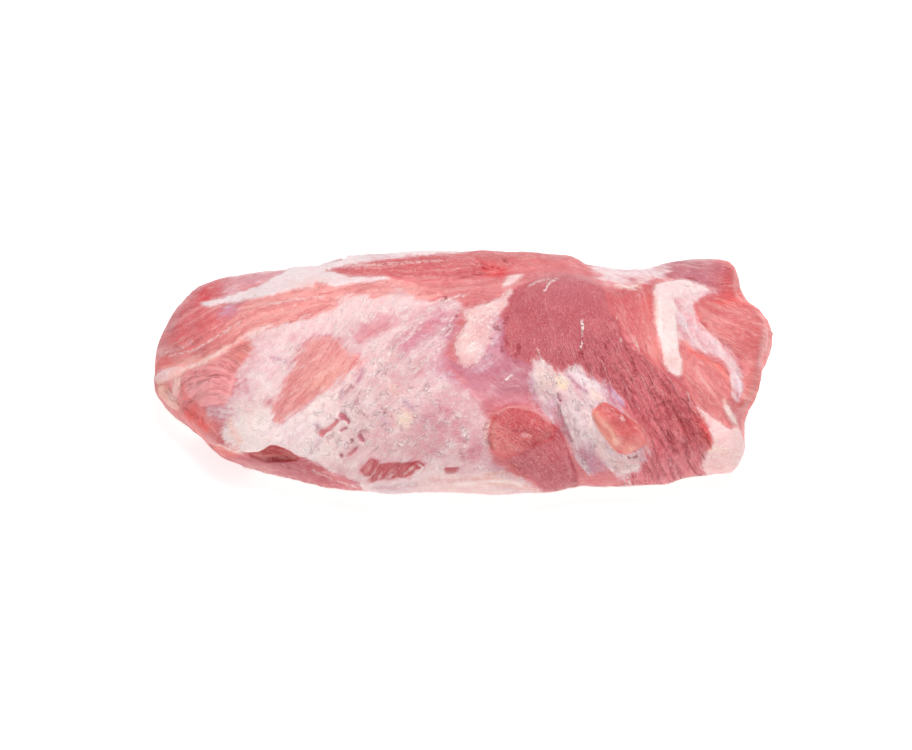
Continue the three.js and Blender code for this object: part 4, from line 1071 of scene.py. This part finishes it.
flat_on_floor = rise(spots[:, 2], 0.5, 3)
lean_in_share = rise(-x, 76, 112) * rise(h_near + 18 - h_round, 0, 16) * rise(-spots[:, 1], 5, 30)
spots[:, 1] += (4.0 + 2.5 * rise(-x, 125, 155)) * lean_in_share * rise(34 - spots[:, 2], 0, 20)
move_skin(relief * flat_on_floor)
bpy.ops.object.shade_smooth()
print("relief, mm: from", round(float(relief.min()), 1), "to", round(float(relief.max()), 1))


# %% [markdown]
# ## Handing the paint to the material
# What was worked out for each point is stored on the mesh as named attributes. The material reads them
# together with noise of its own, which adds everything finer than the points are apart.

# %% Store the attributes
def store(name, values, kind):
    layer = meat.data.attributes.new(name, kind, "POINT")
    field = {"FLOAT": "value", "FLOAT_VECTOR": "vector", "FLOAT_COLOR": "color"}[kind]
    layer.data.foreach_set(field, np.ascontiguousarray(values, np.float32).ravel())


def with_alpha(colours, alpha):
    return np.concatenate([colours, alpha[:, None]], axis=1)


pairs = np.empty(len(meat.data.edges) * 2, np.int64)
meat.data.edges.foreach_get("vertices", pairs)
pairs = pairs.reshape(-1, 2)


def calm(field):
    """1 where a field runs on smoothly, 0 at points where it jumps to a neighbour's."""
    jumps = np.abs(field[pairs[:, 0]] - field[pairs[:, 1]]).max(axis=1) > 6
    still = np.ones(count)
    still[pairs[jumps].ravel()] = 0
    return still


grain_calm, thread_calm = calm(grain), calm(threads)
speckle, streak = speckle * grain_calm, streak * grain_calm
furrowed = furrowed * grain_calm
creased_film = [
    (-94, -52), (-90, -30), (-72, -10), (-58, 6), (-40, 14), (-20, 2), (0, -18), (14, -40), (10, -56), (-40, -58),
]
wrinkle = 0.35 + 0.65 * rise(depth_in(creased_film) + 8 * wobble, -8, 8)
WRINKLED = (
    (FILMS["sinew"], 1.0), (FILMS["right_film"], 0.6), (FILMS["patch_haze"], 1.0),
    (FAT_CAPS["white_patch"], 1.1), (FAT_CAPS["low_right"], 0.8),
)
for (outline, *_), most in WRINKLED:
    wrinkle = np.maximum(wrinkle, most * rise(depth_in(outline), -2, 3))
THICKEST_FILM = 1.6
moist = np.clip(0.5 + around(18, 41) * 1.2, 0, 1)
store("lean", with_alpha(lean, moist), "FLOAT_COLOR")
store("film", with_alpha(film_tint, np.clip(film / THICKEST_FILM, 0, 1)), "FLOAT_COLOR")
store("fat", with_alpha(fat_tint, 0.5 + fat / (2 * FAT_DEPTH)), "FLOAT_COLOR")
store("grain", grain, "FLOAT_VECTOR")
store("threads", threads, "FLOAT_VECTOR")
store("texture", np.stack([speckle, streak, furrowed], axis=1), "FLOAT_VECTOR")
store("painted_shade_line", np.stack([painted_shade_off, dark, creases * bare_lean], axis=1), "FLOAT_VECTOR")
store("wrinkle", wrinkle, "FLOAT")
store("light_line", np.stack([light_off, light, thread_calm], axis=1), "FLOAT_VECTOR")
print("attributes:", [a.name for a in meat.data.attributes if not a.name.startswith(".")])

# %% [markdown]
# ## The finish
# One material covers the meat. It starts with the lean colour, adds speckle and streaks with painted shade and
# highlight along the furrows, then the film with painted shade and highlight on its wrinkles, then the fat, then
# dark lines of painted shade and light lines of thread. Light goes a little way into wet meat before it comes
# back, so the surface scatters it a few millimetres. The gloss is soft and uneven, never like plastic.

# %% Helpers for the material
finish = bpy.data.materials.new("raw_pork_finish")
finish.use_nodes = True
tree = finish.node_tree
skin = tree.nodes["Principled BSDF"]


def link(source, socket):
    if isinstance(source, bpy.types.NodeSocket):
        tree.links.new(source, socket)
    else:
        socket.default_value = source


def attribute(name):
    node = tree.nodes.new("ShaderNodeAttribute")
    node.attribute_name = name
    return node


def math_of(kind, a, b=0.0, c=0.0, clamp=False):
    node = tree.nodes.new("ShaderNodeMath")
    node.operation = kind
    node.use_clamp = clamp
    for source, socket in zip((a, b, c), node.inputs):
        link(source, socket)
    return node.outputs[0]


def ramp(value, low, high, to_low=0.0, to_high=1.0):
    node = tree.nodes.new("ShaderNodeMapRange")
    node.interpolation_type = "SMOOTHSTEP"
    keys = ("Value", "From Min", "From Max", "To Min", "To Max")
    for key, source in zip(keys, (value, low, high, to_low, to_high)):
        link(source, node.inputs[key])
    return node.outputs["Result"]


def mixed(share, under, over, kind="MIX"):
    node = tree.nodes.new("ShaderNodeMix")
    node.data_type = "RGBA"
    node.blend_type = kind
    link(share, node.inputs[0])
    link(under, node.inputs[6])
    link(over, node.inputs[7])
    return node.outputs[2]


def dyed(colour, factors):
    """The colour with its red, green and blue multiplied by the three factors."""
    return mixed(1.0, colour, (*factors, 1), "MULTIPLY")


def texture_on(kind, vector, stretch):
    """A texture on a vector, with so many patches a unit in each direction."""
    scaled = tree.nodes.new("ShaderNodeMapping")
    scaled.inputs["Scale"].default_value = stretch
    link(vector, scaled.inputs["Vector"])
    node = tree.nodes.new(kind)
    node.inputs["Scale"].default_value = 1.0
    link(scaled.outputs["Vector"], node.inputs["Vector"])
    return node


def noise_on(vector, stretch, detail=2.0, roughness=0.55):
    node = texture_on("ShaderNodeTexNoise", vector, stretch)
    node.inputs["Detail"].default_value = detail
    node.inputs["Roughness"].default_value = roughness
    return node.outputs[0]


def cells_on(vector, stretch):
    """Distance to the walls of cells, for bundles of fibres and threads of film."""
    node = texture_on("ShaderNodeTexVoronoi", vector, stretch)
    node.feature = "DISTANCE_TO_EDGE"
    return node.outputs["Distance"]


def swayed(vector, stretch, amount):
    """The vector with each of its numbers moved a little by noise, so that straight patterns wander."""
    node = texture_on("ShaderNodeTexNoise", vector, stretch)
    centred = tree.nodes.new("ShaderNodeVectorMath")
    centred.operation = "SUBTRACT"
    link(node.outputs[1], centred.inputs[0])
    centred.inputs[1].default_value = (0.5, 0.5, 0.5)
    moved = tree.nodes.new("ShaderNodeVectorMath")
    moved.operation = "MULTIPLY_ADD"
    link(centred.outputs[0], moved.inputs[0])
    moved.inputs[1].default_value = (amount, amount, 0)
    link(vector, moved.inputs[2])
    return moved.outputs[0]


def times(*sources):
    total = sources[0]
    for source in sources[1:]:
        total = math_of("MULTIPLY", total, source)
    return total


def part_of(value, share):
    """A share of the value, kept between 0 and 1."""
    return math_of("MULTIPLY", value, share, clamp=True)


def rest_of(share):
    return math_of("SUBTRACT", 1.0, share)


def from_middle(noise):
    return math_of("SUBTRACT", noise, 0.5)


def line_at(noise, level, half):
    """1 where the noise is close to a level, which draws thin winding lines."""
    return ramp(math_of("ABSOLUTE", math_of("SUBTRACT", noise, level)), half, half * 0.2)


def parts_of(vector):
    node = tree.nodes.new("ShaderNodeSeparateXYZ")
    link(vector, node.inputs[0])
    return node.outputs


def paint(red, green, blue):
    return (*shade(red, green, blue), 1)


here = tree.nodes.new("ShaderNodeTexCoord").outputs["Object"]
print("helpers ready")

# %% Lean: fibres, speckle and marbling
lean_in, texture_in = attribute("lean"), parts_of(attribute("texture").outputs["Vector"])
speckle_in, streak_in, crease_in = texture_in
along_fibres = swayed(attribute("grain").outputs["Vector"], (0.09, 0.09, 1), 5.0)
broad = noise_on(here, (70, 70, 70), 3)
broken = noise_on(here, (210, 210, 210), 2)
fibre = noise_on(along_fibres, (0.11, 0.8, 1), 4, 0.6)
broad_fibre = noise_on(along_fibres, (0.035, 0.30, 1), 2, 0.5)
fine_fibre = noise_on(along_fibres, (0.25, 2.4, 1), 3, 0.6)
flecks = noise_on(here, (1000, 1000, 1000), 3, 0.65)
worms = noise_on(along_fibres, (0.42, 1.1, 1), 3, 0.6)
bundle_wall = cells_on(along_fibres, (0.05, 0.26, 1))
vein = noise_on(along_fibres, (0.045, 0.30, 1), 3, 0.6)

colour = mixed(ramp(broad, 0.35, 0.7, 0.0, 0.20), lean_in.outputs["Color"], paint(238, 148, 148))
colour = mixed(times(ramp(broad_fibre, 0.50, 0.36), streak_in, 0.35), colour, paint(208, 96, 102))
colour = mixed(times(ramp(broad_fibre, 0.52, 0.64), streak_in, 0.35), colour, paint(250, 192, 188))
colour = mixed(times(ramp(fibre, 0.48, 0.34), streak_in, 0.36), colour, paint(190, 76, 84))
colour = mixed(times(ramp(fine_fibre, 0.52, 0.66), streak_in, 0.45), colour, paint(253, 200, 194))
colour = mixed(times(ramp(worms, 0.49, 0.36), speckle_in, 0.50), colour, paint(170, 62, 78))
colour = mixed(times(ramp(worms, 0.53, 0.66), speckle_in, 0.42), colour, paint(236, 162, 166))
colour = mixed(times(ramp(flecks, 0.55, 0.68), speckle_in, 0.45), colour, paint(244, 190, 190))
# Broken dark lines at the walls between fibre bundles: painted shade in the creases between them.
shaded_bundle_crease = times(ramp(bundle_wall, 0.07, 0.01), ramp(broken, 0.50, 0.62), streak_in, 0.25)
colour = mixed(part_of(shaded_bundle_crease, 0.75), colour, paint(156, 44, 58))
furrow = noise_on(along_fibres, (0.014, 0.27, 1), 3, 0.5)


# Paired lines along the furrows: the dark one is painted shade in the furrow, the pale one beside it a painted
# highlight on its ridge.
some = times(ramp(broken, 0.44, 0.56, 0.15, 1.0), crease_in)
furrow_painted_shade = times(line_at(furrow, 0.50, 0.026), some)
furrow_painted_highlight = times(line_at(furrow, 0.555, 0.022), some)
colour = mixed(part_of(furrow_painted_shade, 0.62), colour, dyed(colour, (0.50, 0.24, 0.30)))
colour = mixed(part_of(furrow_painted_highlight, 0.50), colour, paint(246, 184, 188))
vein_line = ramp(math_of("ABSOLUTE", from_middle(vein)), 0.012, 0.002)
vein_line = times(vein_line, ramp(broken, 0.52, 0.42), streak_in, ramp(broad, 0.42, 0.58, 0.0, 0.6))
lean_colour = mixed(vein_line, colour, paint(253, 216, 208))
print("lean ready")

# %% Film over the lean
film_in, fat_in = attribute("film"), attribute("fat")
along_threads = swayed(attribute("threads").outputs["Vector"], (0.12, 0.12, 1), 6.0)
thread = noise_on(along_threads, (0.09, 0.7, 1), 4, 0.6)
fine_thread = noise_on(along_threads, (0.24, 1.7, 1), 4, 0.62)
cloud = noise_on(here, (170, 170, 170), 4, 0.6)
fold = noise_on(along_threads, (0.022, 0.13, 1), 2, 0.5)
quiet = parts_of(attribute("light_line").outputs["Vector"])[2]
rough_film = times(ramp(broken, 0.42, 0.60, 0.15, 1.0), quiet)
thickness = times(from_middle(thread), 0.8, quiet)
thickness = math_of("MULTIPLY_ADD", from_middle(cloud), 1.0, thickness)
thickness = math_of("MULTIPLY_ADD", times(from_middle(fold), quiet), 1.0, thickness)
thickness = math_of("MULTIPLY_ADD", times(from_middle(fine_thread), rough_film), 0.7, thickness)
amount = math_of("MULTIPLY", film_in.outputs["Alpha"], THICKEST_FILM)
cover = ramp(math_of("MULTIPLY_ADD", thickness, ramp(amount, 0.02, 0.4), amount), 0.0, 1.0, 0.0, 0.97)
film_base = film_in.outputs["Color"]
film_rose = dyed(film_base, (0.90, 0.68, 0.72))
film_lilac = dyed(film_base, (0.78, 0.62, 0.72))
film_white = mixed(0.75, film_base, paint(255, 241, 237))
film_colour = mixed(ramp(cloud, 0.49, 0.36, 0.0, 0.36), film_base, film_rose)
film_colour = mixed(ramp(cloud, 0.51, 0.64, 0.0, 0.36), film_colour, film_white)
film_colour = mixed(times(ramp(fold, 0.52, 0.66), 0.34, quiet), film_colour, film_white)
film_colour = mixed(times(ramp(fold, 0.48, 0.34), 0.30, quiet), film_colour, film_lilac)
film_colour = mixed(times(ramp(fine_thread, 0.46, 0.34), 0.24, rough_film), film_colour, film_lilac)
film_colour = mixed(times(ramp(fine_thread, 0.53, 0.66), 0.36, rough_film), film_colour, film_white)
film_colour = mixed(ramp(flecks, 0.48, 0.36, 0.0, 0.16), film_colour, film_lilac)
film_colour = mixed(ramp(flecks, 0.54, 0.66, 0.0, 0.30), film_colour, film_white)
wrinkle_in = attribute("wrinkle").outputs["Fac"]
# Wrinkles in the film: a dark line of painted shade and, beside it, a pale line of painted highlight.
curl = noise_on(along_threads, (0.14, 0.34, 1), 3, 0.6)
creased = times(ramp(broken, 0.46, 0.60), ramp(cloud, 0.40, 0.56), wrinkle_in, quiet)
wrinkle_painted_shade = times(line_at(curl, 0.52, 0.050), creased)
wrinkle_painted_highlight = times(line_at(curl, 0.44, 0.045), creased)
film_colour = mixed(part_of(wrinkle_painted_shade, 0.60), film_colour, dyed(film_base, (0.62, 0.46, 0.56)))
film_colour = mixed(part_of(wrinkle_painted_highlight, 0.55), film_colour, paint(255, 240, 236))
thread_wall = cells_on(along_threads, (0.08, 0.30, 1))
bright_thread = times(ramp(thread_wall, 0.07, 0.01), ramp(broken, 0.50, 0.60), cover, quiet)
film_colour = mixed(math_of("MULTIPLY", bright_thread, 0.60), film_colour, paint(255, 240, 238))
colour = mixed(cover, lean_colour, film_colour)
print("film ready")

# %% Fat and lines on top
edge_noise = noise_on(here, (380, 380, 380), 5, 0.7)
fat_depth = math_of("SUBTRACT", math_of("MULTIPLY", fat_in.outputs["Alpha"], 2 * FAT_DEPTH), FAT_DEPTH)
fat_depth = math_of("MULTIPLY_ADD", from_middle(edge_noise), 3.6, fat_depth)
fat_depth = math_of("MULTIPLY_ADD", from_middle(cloud), 1.6, fat_depth)
colour = mixed(ramp(fat_depth, -2.2, 0.4, 0.0, 0.4), colour, fat_in.outputs["Color"])
fat_share = ramp(fat_depth, -0.5, 0.7)
fat_pink = dyed(fat_in.outputs["Color"], (0.94, 0.72, 0.72))
fat_colour = mixed(ramp(cloud, 0.48, 0.36, 0.0, 0.36), fat_in.outputs["Color"], fat_pink)
fat_colour = mixed(ramp(edge_noise, 0.48, 0.38, 0.0, 0.30), fat_colour, fat_pink)
fat_colour = mixed(ramp(edge_noise, 0.52, 0.64, 0.0, 0.35), fat_colour, paint(255, 242, 238))
fat_colour = mixed(ramp(flecks, 0.50, 0.38, 0.0, 0.28), fat_colour, fat_pink)
# The same painted shade and highlight of the wrinkles, on the fat.
fat_colour = mixed(part_of(wrinkle_painted_shade, 0.55), fat_colour, dyed(fat_pink, (0.82, 0.62, 0.66)))
fat_colour = mixed(part_of(wrinkle_painted_highlight, 0.60), fat_colour, paint(255, 243, 238))
fat_colour = mixed(times(ramp(fine_thread, 0.47, 0.36), 0.30, wrinkle_in), fat_colour, fat_pink)
colour = mixed(fat_share, colour, fat_colour)

shade_lines_in = parts_of(attribute("painted_shade_line").outputs["Vector"])
light_in = parts_of(attribute("light_line").outputs["Vector"])
ragged = math_of("MULTIPLY", from_middle(edge_noise), 2.2)
# Painted shade: dark lines along the seams and slits, and in the creases of the fibres.
painted_shade_line = times(ramp(math_of("ADD", math_of("ABSOLUTE", shade_lines_in[0]), ragged), 1.0, 0.15), shade_lines_in[1])
colour = mixed(painted_shade_line, colour, paint(160, 50, 62))
crease_painted_shade = times(shade_lines_in[2], math_of("MULTIPLY_ADD", crease_in, 0.24, 0.12))
colour = mixed(crease_painted_shade, colour, paint(160, 50, 62))
soft_ragged = math_of("MULTIPLY", ragged, 0.75)
light_line = times(ramp(math_of("ADD", math_of("ABSOLUTE", light_in[0]), soft_ragged), 0.26, 0.0), light_in[1])
colour = mixed(light_line, colour, paint(254, 230, 226))
link(colour, skin.inputs["Base Color"])
print("fat and lines ready")

# %% Gloss, bump and the depth that light goes to
wet = noise_on(here, (55, 55, 55), 3)
gloss = ramp(math_of("MULTIPLY_ADD", flecks, 0.3, wet), 0.45, 0.85, 0.30, 0.55)
link(math_of("MULTIPLY_ADD", fat_share, 0.06, gloss), skin.inputs["Roughness"])


height = times(math_of("ADD", from_middle(fibre), from_middle(fine_fibre)), streak_in, 0.8)
height = math_of("MULTIPLY_ADD", from_middle(worms), math_of("MULTIPLY", speckle_in, 0.9), height)
height = math_of("MULTIPLY_ADD", from_middle(flecks), math_of("MULTIPLY_ADD", speckle_in, 0.4, 0.25), height)
height = math_of("MULTIPLY_ADD", shaded_bundle_crease, -0.7, height)
height = math_of("MULTIPLY_ADD", furrow_painted_shade, -0.8, math_of("MULTIPLY_ADD", furrow_painted_highlight, 0.4, height))
film_height = times(math_of("MULTIPLY_ADD", from_middle(fine_thread), 0.5, from_middle(thread)), quiet, 0.8)
film_height = math_of("MULTIPLY_ADD", bright_thread, 0.4, film_height)
film_height = math_of("MULTIPLY_ADD", wrinkle_painted_highlight, 0.35, math_of("MULTIPLY_ADD", wrinkle_painted_shade, -0.35, film_height))
film_height = math_of("MULTIPLY_ADD", from_middle(cloud), 1.2, film_height)
film_height = math_of("MULTIPLY_ADD", from_middle(flecks), 0.35, film_height)
height = times(height, rest_of(math_of("MULTIPLY", cover, 0.7)))
height = math_of("ADD", height, times(film_height, cover))
fat_height = math_of("MULTIPLY_ADD", from_middle(flecks), 0.3, math_of("MULTIPLY", from_middle(edge_noise), 1.3))
height = math_of("ADD", times(height, rest_of(fat_share)), times(fat_height, fat_share))
height = math_of("MULTIPLY_ADD", light_line, 0.6, math_of("MULTIPLY_ADD", painted_shade_line, -1.0, height))
bump = tree.nodes.new("ShaderNodeBump")
bump.inputs["Strength"].default_value = 0.8
bump.inputs["Distance"].default_value = 0.0009
link(height, bump.inputs["Height"])
link(bump.outputs["Normal"], skin.inputs["Normal"])
skin.inputs["Subsurface Weight"].default_value = 0.10
skin.inputs["Subsurface Radius"].default_value = (1.0, 0.35, 0.25)
skin.inputs["Subsurface Scale"].default_value = 0.0025
skin.inputs["Specular IOR Level"].default_value = 0.5
meat.data.materials.append(finish)
print("nodes in the finish:", len(tree.nodes))

# %% [markdown]
# ## Tie the copy to the part
# The copy rides on the part's only body and stands for its one solid, which stays underneath for contact.

# %% Ride, replace and measure
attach(meat, "root")
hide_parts("pork_shoulder")
print("triangles shown:", sum(len(p.vertices) - 2 for p in meat.data.polygons))
